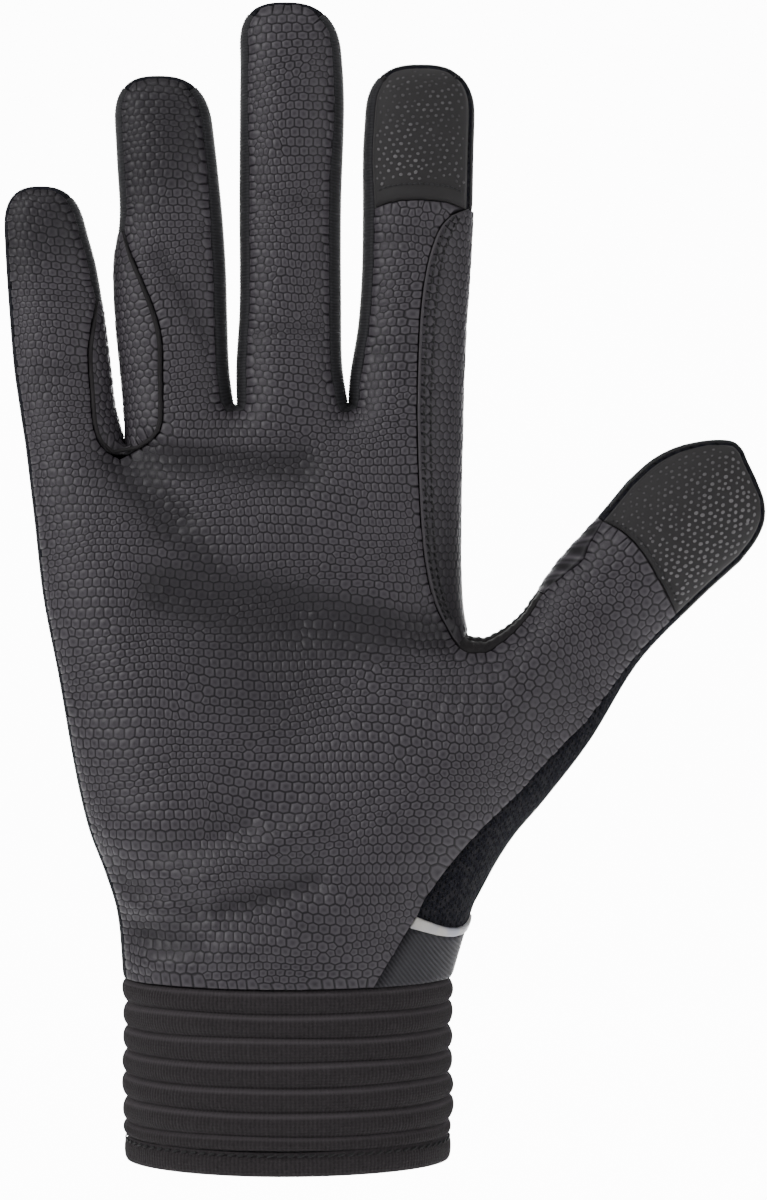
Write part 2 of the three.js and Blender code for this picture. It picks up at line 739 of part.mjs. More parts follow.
// Faces of one sheet of the hand, front or back, from its seam line
function sheet(seam, side, pieceAt) {
  const take = (from, count) => seam.slice(from, from + count);
  const fileFaces = (grid, block) => {
    for (let row = 0; row < grid.length - 1; row += 1) {
      for (let column = 0; column < grid[0].length - 1; column += 1) {
        const corners = [grid[row][column], grid[row][column + 1],
          grid[row + 1][column + 1], grid[row + 1][column]].map((p) => numberOf(p, side));
        addFace(pieceAt(block, row), side < 0 ? corners : corners.reverse());
      }
    }
  };
  const sideRows = breakRows + shoulderRows + capRows;
  const left = take(0, palmRows + 1);
  let at = palmRows;
  const knuckles = [seam[palmRows]];
  const blocks = [];
  fingers.forEach((finger) => {
    const leftSide = take(at, sideRows + 1);
    const top = take(at + sideRows, fingerColumns + 1);
    const rightSide = take(at + sideRows + fingerColumns, sideRows + 1).reverse();
    const base = straight(leftSide[0], rightSide[0], fingerColumns);
    knuckles.push(...base.slice(1));
    blocks.push({ name: finger.name, grid: patch(base, top, leftSide, rightSide) });
    at += 2 * sideRows + fingerColumns;
  });
  const sideDown = take(at, palmRows - forkRow + 1);
  at += palmRows - forkRow;
  const thumbLeft = take(at, thumbRows + 1);
  const thumbTop = take(at + thumbRows, thumbColumns + 1);
  const thumbRight = take(at + thumbRows + thumbColumns, thumbRows + 1).reverse();
  const heelDown = take(at + 2 * thumbRows + thumbColumns, heelRow + 1);
  const thumbBase = straight(thumbLeft[0], thumbRight[0], thumbColumns);
  blocks.push({ name: 'thumb', grid: patch(thumbBase, thumbTop, thumbLeft, thumbRight) });
  const right = [...heelDown].reverse();
  right.push(...[...thumbBase].reverse().slice(1));
  right.push(...[...sideDown].reverse().slice(1));
  const wrist = straight(left[0], right[0], knuckles.length - 1);
  blocks.unshift({ name: 'palm', grid: patch(wrist, knuckles, left, right) });
  blocks.forEach((block) => fileFaces(block.grid, block.name));
}

// Inward direction of the outline at each of its points. It is level where the cuff begins, and
// the reflective band rises from the thumb's edge to the seam.
const lastPoint = outline.length - 1;
outline.forEach((point, i) => {
  const before = outline[Math.max(i - 1, 0)];
  const after = outline[Math.min(i + 1, lastPoint)];
  const size = Math.hypot(after.x - before.x, after.z - before.z);
  point.inX = (after.z - before.z) / size;
  point.inZ = -(after.x - before.x) / size;
});
Object.assign(outline[0], { inX: 1, inZ: 0 });
for (let row = 0; row <= heelRow; row += 1) {
  const rise = (heelTilt * (palmHeights[row] - cuffHeight)) / heelRise;
  const size = Math.hypot(1, rise);
  const sag = (bandSag * (palmHeights[row] - cuffHeight)) / heelRise;
  Object.assign(outline[lastPoint - row], { inX: -1 / size, inZ: rise / size, sag });
}

// Side panels: five lines of points from the front seam over the edge to the back seam
const lines = [[], [], [], [], []];
outline.forEach((point) => {
  const moved = (distance) => ({
    x: point.x + point.inX * distance,
    z: point.z + point.inZ * distance,
  });
  lines[0].push(moved(point.show));
  const nearFront = moved(point.show * nearEdge);
  lines[1].push({ ...nearFront, z: nearFront.z - (point.sag ?? 0) });
  lines[2].push(moved(0));
  lines[3].push(moved(backTurn * nearEdge));
  lines[4].push(moved(backTurn));
});
lines.forEach((line, k) => line.forEach((point) => numberOf(point, k < 3 ? -1 : 1)));
for (let i = 0; i < lastPoint; i += 1) {
  for (let k = 0; k < stripCells; k += 1) {
    const piece = k < 2 ? outline[i].front : outline[i].back;
    addFace(piece, [lines[k][i], lines[k][i + 1], lines[k + 1][i + 1], lines[k + 1][i]]
      .map((point) => pointNumber.get(point)));
  }
}

// Palm side: leather with a pad on the tips of the index finger and the thumb
sheet(lines[0], -1, (block, row) => {
  if (block === 'index' && row >= breakRows) {
    return 'index_tip_pad';
  }
  if (block === 'thumb' && row >= thumbBreakRows) {
    return 'thumb_tip_pad';
  }
  return 'palm_panel';
});

// Back: mesh, with the reflective band and the wrist panel below it
sheet(lines[4], 1, (block, row) => {
  if (block === 'palm' && row < heelRow - 1) {
    return 'wrist_panel';
  }
  if (block === 'palm' && row === heelRow - 1) {
    return 'reflective_piping';
  }
  return 'back_panel';
});

// Outward direction at each point of the skin, level where the cuff begins
const outward = skin.map(() => new THREE.Vector3());
Object.values(faces).flat().forEach((face) => {
  const [a, b, c, d] = face.map((number) => skin[number]);
  const turn = new THREE.Vector3().crossVectors(
    new THREE.Vector3().subVectors(c, a), new THREE.Vector3().subVectors(d, b));
  face.forEach((number) => outward[number].add(turn));
});
outward.forEach((direction, number) => {
  if (Math.abs(skin[number].z - cuffHeight) < wristTolerance) {
    direction.z = 0;
  }
  direction.normalize();
});

// A mesh from points and triangles
function meshOf(name, points, triangles, look) {
  const geometry = new THREE.BufferGeometry();
  const numbers = points.flatMap((point) => [point.x, point.y, point.z]);
  geometry.setAttribute('position', new THREE.Float32BufferAttribute(numbers, 3));
  geometry.setIndex(triangles.flat());
  geometry.computeVertexNormals();
  const material = new THREE.MeshStandardMaterial({ ...look, metalness: 0 });
  const mesh = new THREE.Mesh(geometry, material);
  mesh.name = name;
  return mesh;
}

// A wall: the piece's faces, the same faces one wall further in, and rims along its borders.
// Borders are drawn back by half the seam's gap.
function wallPiece(name, wall, proud, look) {
  const quads = faces[name];
  const used = [...new Set(quads.flat())];
  const local = new Map(used.map((number, i) => [number, i]));
  const edges = new Map();
  quads.forEach((quad) => quad.forEach((from, i) => {
    const [to, afterTo, beforeFrom] = [1, 2, 3].map((step) => quad[(i + step) % 4]);
    edges.set(`${from},${to}`, { from, to, afterTo, beforeFrom });
  }));
  const border = [...edges.values()].filter(({ from, to }) => !edges.has(`${to},${from}`));
  const inward = new Map();
  border.forEach(({ from, to, afterTo, beforeFrom }) => {
    const edge = new THREE.Vector3().subVectors(skin[to], skin[from]).normalize();
    [[from, beforeFrom], [to, afterTo]].forEach(([number, within]) => {
      const turn = new THREE.Vector3().subVectors(skin[within], skin[number]);
      turn.addScaledVector(edge, -turn.dot(edge));
      turn.addScaledVector(outward[number], -turn.dot(outward[number])).normalize();
      inward.set(number, [...(inward.get(number) ?? []), turn]);
    });
  });
  const shift = (number) => {
    const turns = inward.get(number);
    if (!turns) {
      return new THREE.Vector3();
    }
    const sum = turns.reduce((total, turn) => total.add(turn), new THREE.Vector3());
    const corner = Math.max(1 + turns[0].dot(turns[turns.length - 1]), cornerLimit);
    return sum.multiplyScalar((seamGap / 2) / corner * (turns.length === 2 ? 1 : 0.5));
  };
  const outer = used.map((number) => skin[number].clone()
    .addScaledVector(outward[number], proud).add(shift(number)));
  const inner = used.map((number) => skin[number].clone()
    .addScaledVector(outward[number], -wall).add(shift(number)));
  const count = used.length;
  const triangles = [];
  quads.forEach((quad) => {
    const [a, b, c, d] = quad.map((number) => local.get(number));
    const short = outer[a].distanceTo(outer[c]) <= outer[b].distanceTo(outer[d]);
    const pair = short ? [[a, b, c], [a, c, d]] : [[a, b, d], [b, c, d]];
    pair.forEach(([p, q, r]) => {
      triangles.push([p, q, r]);
      triangles.push([r + count, q + count, p + count]);
    });
  });
  border.forEach(({ from, to }) => {
    const a = local.get(from);
    const b = local.get(to);
    if (from < to) {
      triangles.push([b, a, b + count], [a, a + count, b + count]);
    } else {
      triangles.push([b, a, a + count], [b, a + count, b + count]);
    }
  });
  return meshOf(name, [...outer, ...inner], triangles, look);
}

// A ring of the cuff: a closed profile of heights and offsets, carried round the wrist's oval
function ovalRing(name, profile, look) {
  const points = [];
  profile.forEach(({ z, offset }) => {
    for (let step = 0; step < cuffSides; step += 1) {
      const turn = (2 * Math.PI * step) / cuffSides;
      points.push(new THREE.Vector3((wristWidth / 2 + offset) * Math.cos(turn),
        (wristDepth / 2 + offset) * Math.sin(turn), z));
    }
  });
  const triangles = [];
  profile.forEach((_, ring) => {
    const upper = ((ring + 1) % profile.length) * cuffSides;
    const lower = ring * cuffSides;
    for (let step = 0; step < cuffSides; step += 1) {
      const next = (step + 1) % cuffSides;
      triangles.push([lower + step, lower + next, upper + next]);
      triangles.push([lower + step, upper + next, upper + step]);
    }
  });
  return meshOf(name, points, triangles, look);
}

// The knit cuff: ribs from the wrist down, and one narrow fold over the hem
const ribHeight = (cuffHeight - hemHeight - foldHeight) / cuffRibs;
const cuffBottom = hemHeight + seamGap;
const cuffTop = cuffHeight - seamGap / 2;
const inwardOffset = -ribBulge - cuffWall;
function bulges(from, height, bulge) {
  const rings = [];
  for (let step = 0; step < ribSteps; step += 1) {
    const share = step / ribSteps;
    rings.push({ z: from + share * height,
      offset: -ribBulge + bulge * Math.sqrt(Math.sin(Math.PI * share)) });
  }
  return rings;
}
const cuffProfile = bulges(cuffBottom, foldHeight - seamGap, ribBulge * foldShare);
for (let rib = 0; rib < cuffRibs; rib += 1) {
  cuffProfile.push(...bulges(hemHeight + foldHeight + rib * ribHeight, ribHeight, ribBulge));
}
cuffProfile.push({ z: cuffTop, offset: -ribBulge * topShare });
cuffProfile.push({ z: cuffTop, offset: inwardOffset });
cuffProfile.push({ z: (cuffTop + cuffBottom) / 2, offset: inwardOffset });
cuffProfile.push({ z: cuffBottom, offset: inwardOffset });
const hemProfile = hemShape.map(({ up, out }) => (
  { z: up * hemHeight, offset: -ribBulge + out * hemBulge }));
hemProfile.push({ z: hemHeight, offset: inwardOffset });
hemProfile.push({ z: 0, offset: inwardOffset });

const glove = new THREE.Group();
glove.add(
  wallPiece('palm_panel', leatherWall, 0, looks.leather),
  wallPiece('back_panel', fabricWall, 0, looks.mesh),
  wallPiece('wrist_panel', fabricWall, 0, looks.twill),
  wallPiece('reflective_piping', fabricWall, pipingProud, looks.piping),
  wallPiece('fourchette_little_ring', fabricWall, 0, looks.ribbed),
  wallPiece('fourchette_ring_middle', fabricWall, 0, looks.ribbed),
  wallPiece('fourchette_middle_index', fabricWall, 0, looks.ribbed),
  wallPiece('ring_little_patch', leatherWall, 0, looks.leather),
  wallPiece('index_side_patch', leatherWall, 0, looks.leather),
  wallPiece('index_tip_pad', padWall, 0, looks.pad),
  wallPiece('thumb_tip_pad', padWall, 0, looks.pad),
  wallPiece('thumb_side_patch', leatherWall, 0, looks.leather),
  wallPiece('crotch_binding', leatherWall, bindingProud, looks.leather),
  ovalRing('cuff', cuffProfile, looks.knit),
  ovalRing('cuff_hem', hemProfile, looks.knit),
);

export default glove;
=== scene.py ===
# %% [markdown]
# # Dressing a riding glove
#
# The glove is a right-hand riding glove, palm side towards us and filled out as if worn. The solids
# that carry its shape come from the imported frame. This script repeats their sizes, makes the same
# shape again on a much finer grid, and gives it scales, ribs, stitches and cloth.

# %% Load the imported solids
import bpy
import numpy as np
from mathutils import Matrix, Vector
from mathutils.geometry import delaunay_2d_cdt


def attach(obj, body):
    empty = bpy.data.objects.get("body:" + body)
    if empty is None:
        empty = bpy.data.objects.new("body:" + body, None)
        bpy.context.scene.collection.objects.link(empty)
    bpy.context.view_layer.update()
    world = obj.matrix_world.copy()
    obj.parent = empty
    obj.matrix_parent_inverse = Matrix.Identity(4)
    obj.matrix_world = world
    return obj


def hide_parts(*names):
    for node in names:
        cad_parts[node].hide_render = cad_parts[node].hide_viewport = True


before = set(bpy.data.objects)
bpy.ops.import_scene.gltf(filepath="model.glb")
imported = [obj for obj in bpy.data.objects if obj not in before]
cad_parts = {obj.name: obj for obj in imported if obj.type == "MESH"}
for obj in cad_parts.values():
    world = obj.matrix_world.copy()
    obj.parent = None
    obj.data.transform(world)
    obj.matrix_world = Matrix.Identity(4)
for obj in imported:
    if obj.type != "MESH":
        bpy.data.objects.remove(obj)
bpy.context.view_layer.update()

# %% [markdown]
# ## Sizes
#
# All sizes are in millimetres and are the ones that the solids were made from, apart from the seam
# round the fork patch, which is a little rounder here. A finger is given by its width, length and
# depth, and by a short table: share of the length, width as a share of the root's width, and lean
# of the centre line as a share of the length.

# %% Sizes of the palm, the cuff and the fingers
cuff_height, wrist_width, wrist_depth = 37.0, 67.4, 44.0
palm_length, palm_depth, palm_shift, knuckle_depth = 116.9, 31.0, -9.0, 21.0
outer_root_drop, inner_root_drop = 8.2, 3.0
finger_curl, cap_share, cap_power = 5.0, 0.45, 2.6
finger_sizes = {
    "little": dict(width=20.5, length=52.3, depth=16.0, drops=(8.2, 8.2), seam_at=0.56),
    "ring": dict(width=22.8, length=70.6, depth=18.0, drops=(8.2, 0.0), seam_at=0.55),
    "middle": dict(width=22.8, length=81.4, depth=18.5, drops=(0.0, 0.0), seam_at=0.58),
    "index": dict(width=23.4, length=70.2, depth=18.5, drops=(0.0, 3.0), seam_at=0.582),
}
finger_shapes = {
    "little": [(0, 1, 0), (0.15, 0.955, -0.032), (0.3, 0.963, -0.051), (0.5, 0.942, -0.07),
               (0.7, 0.89, -0.091), (0.857, 0.8, -0.113), (1, 0.76, -0.124)],
    "ring": [(0, 1, 0), (0.15, 0.973, -0.017), (0.3, 0.996, -0.027), (0.45, 1, -0.0315),
             (0.6, 0.917, -0.0275), (0.75, 0.89, -0.0375), (0.87, 0.865, -0.047),
             (1, 0.84, -0.059)],
    "middle": [(0, 1, 0), (0.1, 0.95, -0.008), (0.25, 0.91, -0.005), (0.5, 0.91, -0.005),
               (0.75, 0.928, 0), (0.88, 0.9, -0.003), (1, 0.88, -0.016)],
    "index": [(0, 1, 0), (0.1, 0.995, 0.004), (0.25, 0.943, 0.0195), (0.4, 0.939, 0.03),
              (0.57, 0.956, 0.036), (0.75, 0.965, 0.038), (0.87, 0.952, 0.043),
              (1, 0.93, 0.0435)],
}

# %% Sizes of the thumb, and how far each side panel shows on the palm side
thumb_length, thumb_width, thumb_depth, thumb_turn, thumb_curl = 63.2, 27.9, 19.0, 50.0, 6.0
fork_rise, fork_out, heel_rise, heel_out = 69.0, 4.7, 12.8, 3.7
pad_upper, pad_lower, cap_side, lower_crowding = 0.78, 0.813, 0.27, 1.6
edge_show, gusset_show, gusset_tip_show = 1.2, 2.3, 1.84
notch_show, side_patch_show, binding_show, thumb_show, heel_show = 9.5, 9.5, 2.6, 3.4, 16.0
back_turn, band_width, band_sag, heel_tilt, heel_share = 2.8, 2.1, 2.4, 0.1, 0.7
web_rise, wrist_end, knuckle_start, thumb_blend = 12.0, 0.12, 0.8, 0.8
fold_depth, fold_gain, wrinkle_gain, mound_height, relief_fade = 1.5, 1.9, 1.35, 3.0, 5.5

# %% Tables of the outline: share of the way up or along, share of the way out
outer_side = [(0, 0), (0.12, 0.06), (0.194, 0.18), (0.27, 0.337), (0.343, 0.44), (0.417, 0.52),
              (0.565, 0.66), (0.713, 0.816), (0.86, 0.908), (1, 1)]
inner_side = [(0, 1), (0.006, 0.35), (0.05, 0.2), (0.12, 0.065), (0.25, -0.043),
              (0.5, -0.087), (1, 0)]
thumb_upper = [(0, 0), (0.1, 0.063), (0.22, 0.09), (0.36, 0.057), (0.51, 0.037), (0.76, 0.051),
               (1, 0.048)]
thumb_lower = [(0, 0), (0.034, -0.04), (0.189, -0.092), (0.304, -0.073), (0.471, -0.07),
               (0.682, -0.138), (0.869, -0.072), (1, 0)]
thumb_cap = [(0, 0.684, 0.048), (0.08, 0.783, 0.081), (0.16, 0.863, 0.154), (0.25, 0.93, 0.265),
             (0.33, 0.974, 0.368), (0.42, 0.997, 0.456), (0.5, 0.994, 0.544),
             (0.58, 0.978, 0.618), (0.67, 0.949, 0.765), (0.75, 0.914, 0.904),
             (0.83, 0.866, 1), (0.92, 0.799, 1.048), (1, 0.719, 1.059)]

# %% Tables of the sections, and of how far each panel shows
palm_sections = [(0, 1, 1.42, 1.42), (0.15, 0.83, 1.3, 1.25), (0.35, 0.66, 1.12, 1.05),
                 (0.6, 0.56, 1, 0.87), (0.85, 0.44, 0.83, 0.72), (1, 0.34, 0.69, 0.64)]
notch_ring = [(0, 0.3), (0.012, 0.48), (0.04, 0.76), (0.07, 0.84), (0.12, 0.89), (0.3, 0.95),
              (0.5, 1), (0.75, 0.72), (1, 0.18)]
notch_little = [(0, 0.3), (0.012, 0.37), (0.05, 0.47), (0.12, 0.5), (0.3, 0.44), (0.65, 0.38),
                (1, 0.1)]
side_finger = [(0, 0.99), (0.5, 1), (0.72, 0.92), (0.87, 0.74), (0.95, 0.52), (1, 0.13)]
side_palm = [(0, 0.3), (0.1, 0.5), (0.22, 0.68), (0.4, 0.82), (0.75, 0.94), (1, 0.99)]
thumb_edge = [(0, 0.76), (0.16, 0.42), (0.35, 0.3), (0.45, 0.4), (0.6, 0.75), (0.74, 1),
              (0.83, 0.7), (1, 0.36)]
heel_edge = [(0, 0.075), (0.3, 0.094), (0.5, 0.17), (0.65, 0.31), (0.84, 0.43), (1, 0.7)]

# %% [markdown]
# ## Folds
#
# Leather gathers where the hand bends. The main folds are in the solids too. Finer wrinkles are
# added here: each is a straight valley or ridge with soft ends. A mound is a soft bell. All are
# only tables, so a fold is easy to move.

# %% Main folds in shares of the palm, and wrinkles in millimetres
main_folds = [(-0.27, 0.906, -0.15, 0.79, 0.9, 3), (-0.15, 0.79, -0.055, 0.7, 0.5, 3),
              (-0.21, 0.911, 0.13, 0.893, 0.7, 3), (-0.16, 0.676, 0.13, 0.633, 1, 3.4),
              (0.13, 0.633, 0.45, 0.595, 0.9, 3), (-0.3, 0.182, -0.1, 0.138, 0.7, 2.4),
              (-0.27, 0.095, -0.1, 0.061, 0.7, 2.4)]
mounds = [(0.43, 0.34, 1, 0.2), (-0.15, 0.29, 0.7, 0.18), (0.1, 0.5, -0.5, 0.2)]
wrinkles = [
    (-25.0, 183.0, -15.5, 166.0, 0.7, 2.2), (-27.0, 176.0, -21.0, 168.0, -0.4, 2.4),
    (-31.0, 142.0, -20.0, 128.0, 0.5, 1.6), (-26.0, 143.5, 3.0, 139.0, 0.5, 1.5),
    (-24.0, 147.0, 0.0, 144.0, -0.5, 2.0), (-22.0, 119.0, 2.0, 113.0, 0.5, 1.4),
    (2.0, 112.5, 31.0, 108.0, 0.4, 1.3), (-14.0, 105.0, 14.0, 103.0, 0.3, 2.0),
    (33.0, 103.0, 30.0, 90.0, 0.45, 1.1), (35.5, 101.5, 33.5, 88.0, 0.45, 1.1),
    (38.0, 101.5, 37.5, 88.0, 0.45, 1.1), (41.0, 103.0, 42.5, 92.0, 0.4, 1.1),
    (29.5, 104.0, 24.0, 93.0, 0.4, 1.2), (44.0, 105.5, 48.0, 97.0, 0.35, 1.2),
    (-35.0, 58.5, -17.0, 53.0, 0.6, 1.5), (-34.0, 54.5, -14.0, 50.5, -0.5, 1.6),
    (-32.0, 48.0, -15.0, 44.0, 0.6, 1.5), (-31.0, 63.0, -20.0, 60.0, 0.35, 1.4),
    (5.0, 50.0, 24.0, 47.0, 0.4, 1.6), (8.0, 57.0, 26.0, 60.0, 0.35, 1.8),
    (-6.0, 168.0, 6.0, 169.0, 0.4, 1.4), (-5.0, 195.0, 8.0, 194.0, 0.35, 1.3),
    (17.0, 164.0, 30.0, 166.0, 0.35, 1.4), (17.0, 186.0, 30.0, 188.0, 0.35, 1.3),
    (-50.0, 160.0, -40.0, 161.0, 0.35, 1.3), (-52.0, 176.0, -42.0, 175.0, 0.3, 1.3),
    (55.0, 103.0, 62.0, 95.0, 0.35, 1.5), (62.0, 112.0, 71.0, 104.0, 0.3, 1.5),
    (-34.0, 46.5, 6.0, 58.5, 1.3, 3.0), (-24.0, 53.5, 6.0, 69.0, -1.2, 3.6),
    (-35.0, 60.0, -8.0, 69.5, 1.1, 2.8), (-28.0, 41.0, 2.0, 47.0, -0.9, 2.8),
    (-44.0, 96.0, -20.0, 84.0, 0.35, 3.4), (-38.0, 78.0, -14.0, 72.0, 0.35, 3.0),
    (33.0, 100.0, 12.0, 104.0, 0.7, 2.2), (31.0, 106.5, 12.0, 109.5, 0.45, 1.6),
]

# %% [markdown]
# ## Reading a table
#
# A table holds a few chosen values. Between them a smooth cubic runs, with slopes taken from the
# neighbours, so the outline has no corners. Everything works on whole arrays at once.

# %% Smooth reading of tables
def along(table, share, column=1):
    """Cubic between rows: each slope is the chord between the row's two neighbours."""
    rows = np.asarray(table, float)
    at, value = rows[:, 0], rows[:, column]
    share = np.clip(share, at[0], at[-1])
    row = np.clip(np.searchsorted(at, share) - 1, 0, len(at) - 2)
    low = np.maximum(np.arange(len(at)) - 1, 0)
    high = np.minimum(np.arange(len(at)) + 1, len(at) - 1)
    slope = (value[high] - value[low]) / (at[high] - at[low])
    span = at[row + 1] - at[row]
    t = (share - at[row]) / span
    ends = value[row] * (1 + 2 * t) * (1 - t) ** 2 + value[row + 1] * t * t * (3 - 2 * t)
    return ends + (slope[row] * t * (1 - t) ** 2 - slope[row + 1] * t * t * (1 - t)) * span


def mix(a, b, t):
    """Straight blend from a at 0 to b at 1."""
    return a + (b - a) * t


def ease(t):
    """S-shaped step from 0 to 1: 3t^2 - 2t^3, held outside."""
    held = np.clip(t, 0, 1)
    return held * held * (3 - 2 * held)


# %% Places worked out from the sizes
knuckle_width = sum(size["width"] for size in finger_sizes.values())
root_height = cuff_height + palm_length
outer_root_x = palm_shift - knuckle_width / 2
inner_root = np.array([palm_shift + knuckle_width / 2, root_height - inner_root_drop])
fork = np.array([inner_root[0] + fork_out, cuff_height + fork_rise])
heel = np.array([wrist_width / 2 + heel_out, cuff_height + heel_rise])
turn = np.radians(thumb_turn)
thumb_axis = np.array([np.cos(turn), np.sin(turn)])
thumb_side = np.array([np.sin(turn), -np.cos(turn)])
print("roots at", root_height, "fork", fork, "heel", heel)

# %% [markdown]
# ## The outline
#
# Seen from the front the glove is one closed line: up the little finger's side, round four fingers,
# down to the thumb's fork, round the thumb and down to the cuff. Each point also says how far
# inside the line the seam of its side panel runs. The solids use the same line with few points;
# here every stretch between two of them is cut into several.

# %% One finger
fine = 6


class Finger:
    """Centre line and half width as functions of the height, with a round tip."""

    def __init__(self, name, left_x):
        size = finger_sizes[name]
        self.name, self.shape = name, finger_shapes[name]
        self.width, self.length, self.depth = size["width"], size["length"], size["depth"]
        self.left_x = left_x
        self.left_web = root_height - size["drops"][0]
        self.right_web = root_height - size["drops"][1]
        self.root = root_height - sum(size["drops"]) / 2
        self.seam = self.root + size["seam_at"] * self.length
        self.shoulder = self.root + self.length - cap_share * self.width

    def centre(self, z):
        """Middle of the root plus the lean at this height."""
        lean = along(self.shape, (z - self.root) / self.length, 2)
        return self.left_x + self.width / 2 + lean * self.length

    def half(self, z):
        """Half of the width at this height."""
        return along(self.shape, (z - self.root) / self.length, 1) * self.width / 2

    def edge(self, side, z):
        """Point of the left (-1) or right (1) edge."""
        return np.stack([self.centre(z) + side * self.half(z), z], axis=-1)

    def cap(self, angle):
        """Round tip: a squarish oval, from the left shoulder at 0 to the right one at pi."""
        z = self.shoulder + cap_share * self.width * np.sin(angle) ** (2 / cap_power)
        reach = np.abs(np.cos(angle)) ** (2 / cap_power) * np.sign(-np.cos(angle))
        return np.stack([self.centre(z) + reach * self.half(z), z], axis=-1)


fingers = []
for finger_name, size in finger_sizes.items():
    start_x = fingers[-1].left_x + fingers[-1].width if fingers else outer_root_x
    fingers.append(Finger(finger_name, start_x))
print("fingertips at", [round(f.root + f.length, 1) for f in fingers])

# %% A finger's two sides and tip
break_rows, shoulder_rows, cap_rows, cap_columns = 5 * fine, 2 * fine, 3 * fine, 5 * fine
web_closeness = 1.3
low_shares = (np.arange(1, break_rows + 1) / break_rows) ** web_closeness
high_shares = np.arange(1, shoulder_rows + 1) / shoulder_rows
run_over = np.minimum(np.arange(1, shoulder_rows + cap_rows + 1) / fine, 1)


def finger_side(finger, side):
    """Rows from just above the web to where the tip's top begins."""
    web = finger.left_web if side < 0 else finger.right_web
    low = finger.edge(side, mix(web, finger.seam, low_shares))
    high = finger.edge(side, mix(finger.seam, finger.shoulder, high_shares))
    angle = np.pi / 4 * np.arange(1, cap_rows + 1) / cap_rows
    round_part = finger.cap(angle if side < 0 else np.pi - angle)
    return np.concatenate([low, high, round_part])


def side_show(finger, side, share):
    """How far a side panel shows on a finger's side, from the web at 0 to the seam at 1."""
    if finger.name == "little":
        plain = np.full_like(share, edge_show)
        return plain if side < 0 else notch_show * along(notch_little, share)
    if finger.name == "ring" and side < 0:
        return notch_show * along(notch_ring, share)
    if finger.name == "index" and side > 0:
        return side_patch_show * along(side_finger, share)
    return np.full_like(share, gusset_show)


def finger_shows(finger, side):
    """The same for all rows of a side: it runs over into the plain edge at the tip."""
    low = side_show(finger, side, low_shares)
    plain = finger.name == "little" or (finger.name == "index" and side > 0)
    tip = edge_show if plain else gusset_tip_show
    return np.concatenate([low, mix(low[-1], tip, run_over)])


# %% Thumb curves
def in_thumb(length, across):
    """Point in the thumb's frame, which starts at the fork."""
    return fork + np.multiply.outer(length, thumb_axis) + np.multiply.outer(across, thumb_side)


heel_length, heel_across = (heel - fork) @ thumb_axis, (heel - fork) @ thumb_side
upper_shoulder, lower_shoulder = thumb_cap[0][1] * thumb_length, thumb_cap[-1][1] * thumb_length
lower_across = thumb_cap[-1][2] * thumb_width


def upper_edge(share):
    """Edge from the fork to the shoulder, a small wave off the straight line."""
    return in_thumb(share * upper_shoulder, along(thumb_upper, share) * thumb_width)


def lower_edge(share):
    """Edge from the heel to the lower shoulder."""
    sag = along(thumb_lower, share) * thumb_width
    return in_thumb(mix(heel_length, lower_shoulder, share),
                    mix(heel_across, lower_across, share) + sag)


def cap_edge(share):
    """Round tip of the thumb from the upper shoulder to the lower one."""
    return in_thumb(along(thumb_cap, share, 1) * thumb_length,
                    along(thumb_cap, share, 2) * thumb_width)


# %% Heights of the palm's rows
def refine(values):
    """Each step between two values is cut into equal small steps."""
    values = np.asarray(values, float)
    steps = np.arange(fine) / fine
    return np.append(mix(values[:-1, None], values[1:, None], steps).ravel(), values[-1])


fork_rows = 8
low_rows = [cuff_height, mix(cuff_height, heel[1] - band_width, 0.5), heel[1] - band_width, heel[1]]
palm_rows = low_rows + [mix(heel[1], fork[1], row / fork_rows) for row in range(1, fork_rows + 1)]
palm_rows += [mix(fork[1], inner_root[1], s) for s in (0.05, 0.14, 0.28, 0.46, 0.64, 0.82, 1)]
heights = refine(palm_rows)
heel_row, fork_row, last_row = 3 * fine, (3 + fork_rows) * fine, len(heights) - 1
print("rows of the palm:", last_row)

# %% The whole outline, piece by piece
points, shows, front_names, back_names = [], [], [], []


def add(xz, show, front, back):
    """Adds a run of points; the stretch after each point belongs to the two named panels."""
    xz = np.atleast_2d(xz)
    points.append(xz)
    shows.append(np.broadcast_to(show, len(xz)))
    front_names.extend([front] * len(xz) if isinstance(front, str) else front)
    back_names.extend([back] * len(xz) if isinstance(back, str) else back)


rise = (heights - cuff_height) / (inner_root[1] - cuff_height)
outer_z = mix(cuff_height, root_height - outer_root_drop, rise)
outer_x = mix(-wrist_width / 2, outer_root_x, along(outer_side, rise))
add(np.stack([outer_x, outer_z], axis=-1), edge_show, "back_panel", "back_panel")
side_panels = {"little": ("back_panel", "fourchette_little_ring"),
               "ring": ("fourchette_little_ring", "fourchette_ring_middle"),
               "middle": ("fourchette_ring_middle", "fourchette_middle_index"),
               "index": ("fourchette_middle_index", "back_panel")}

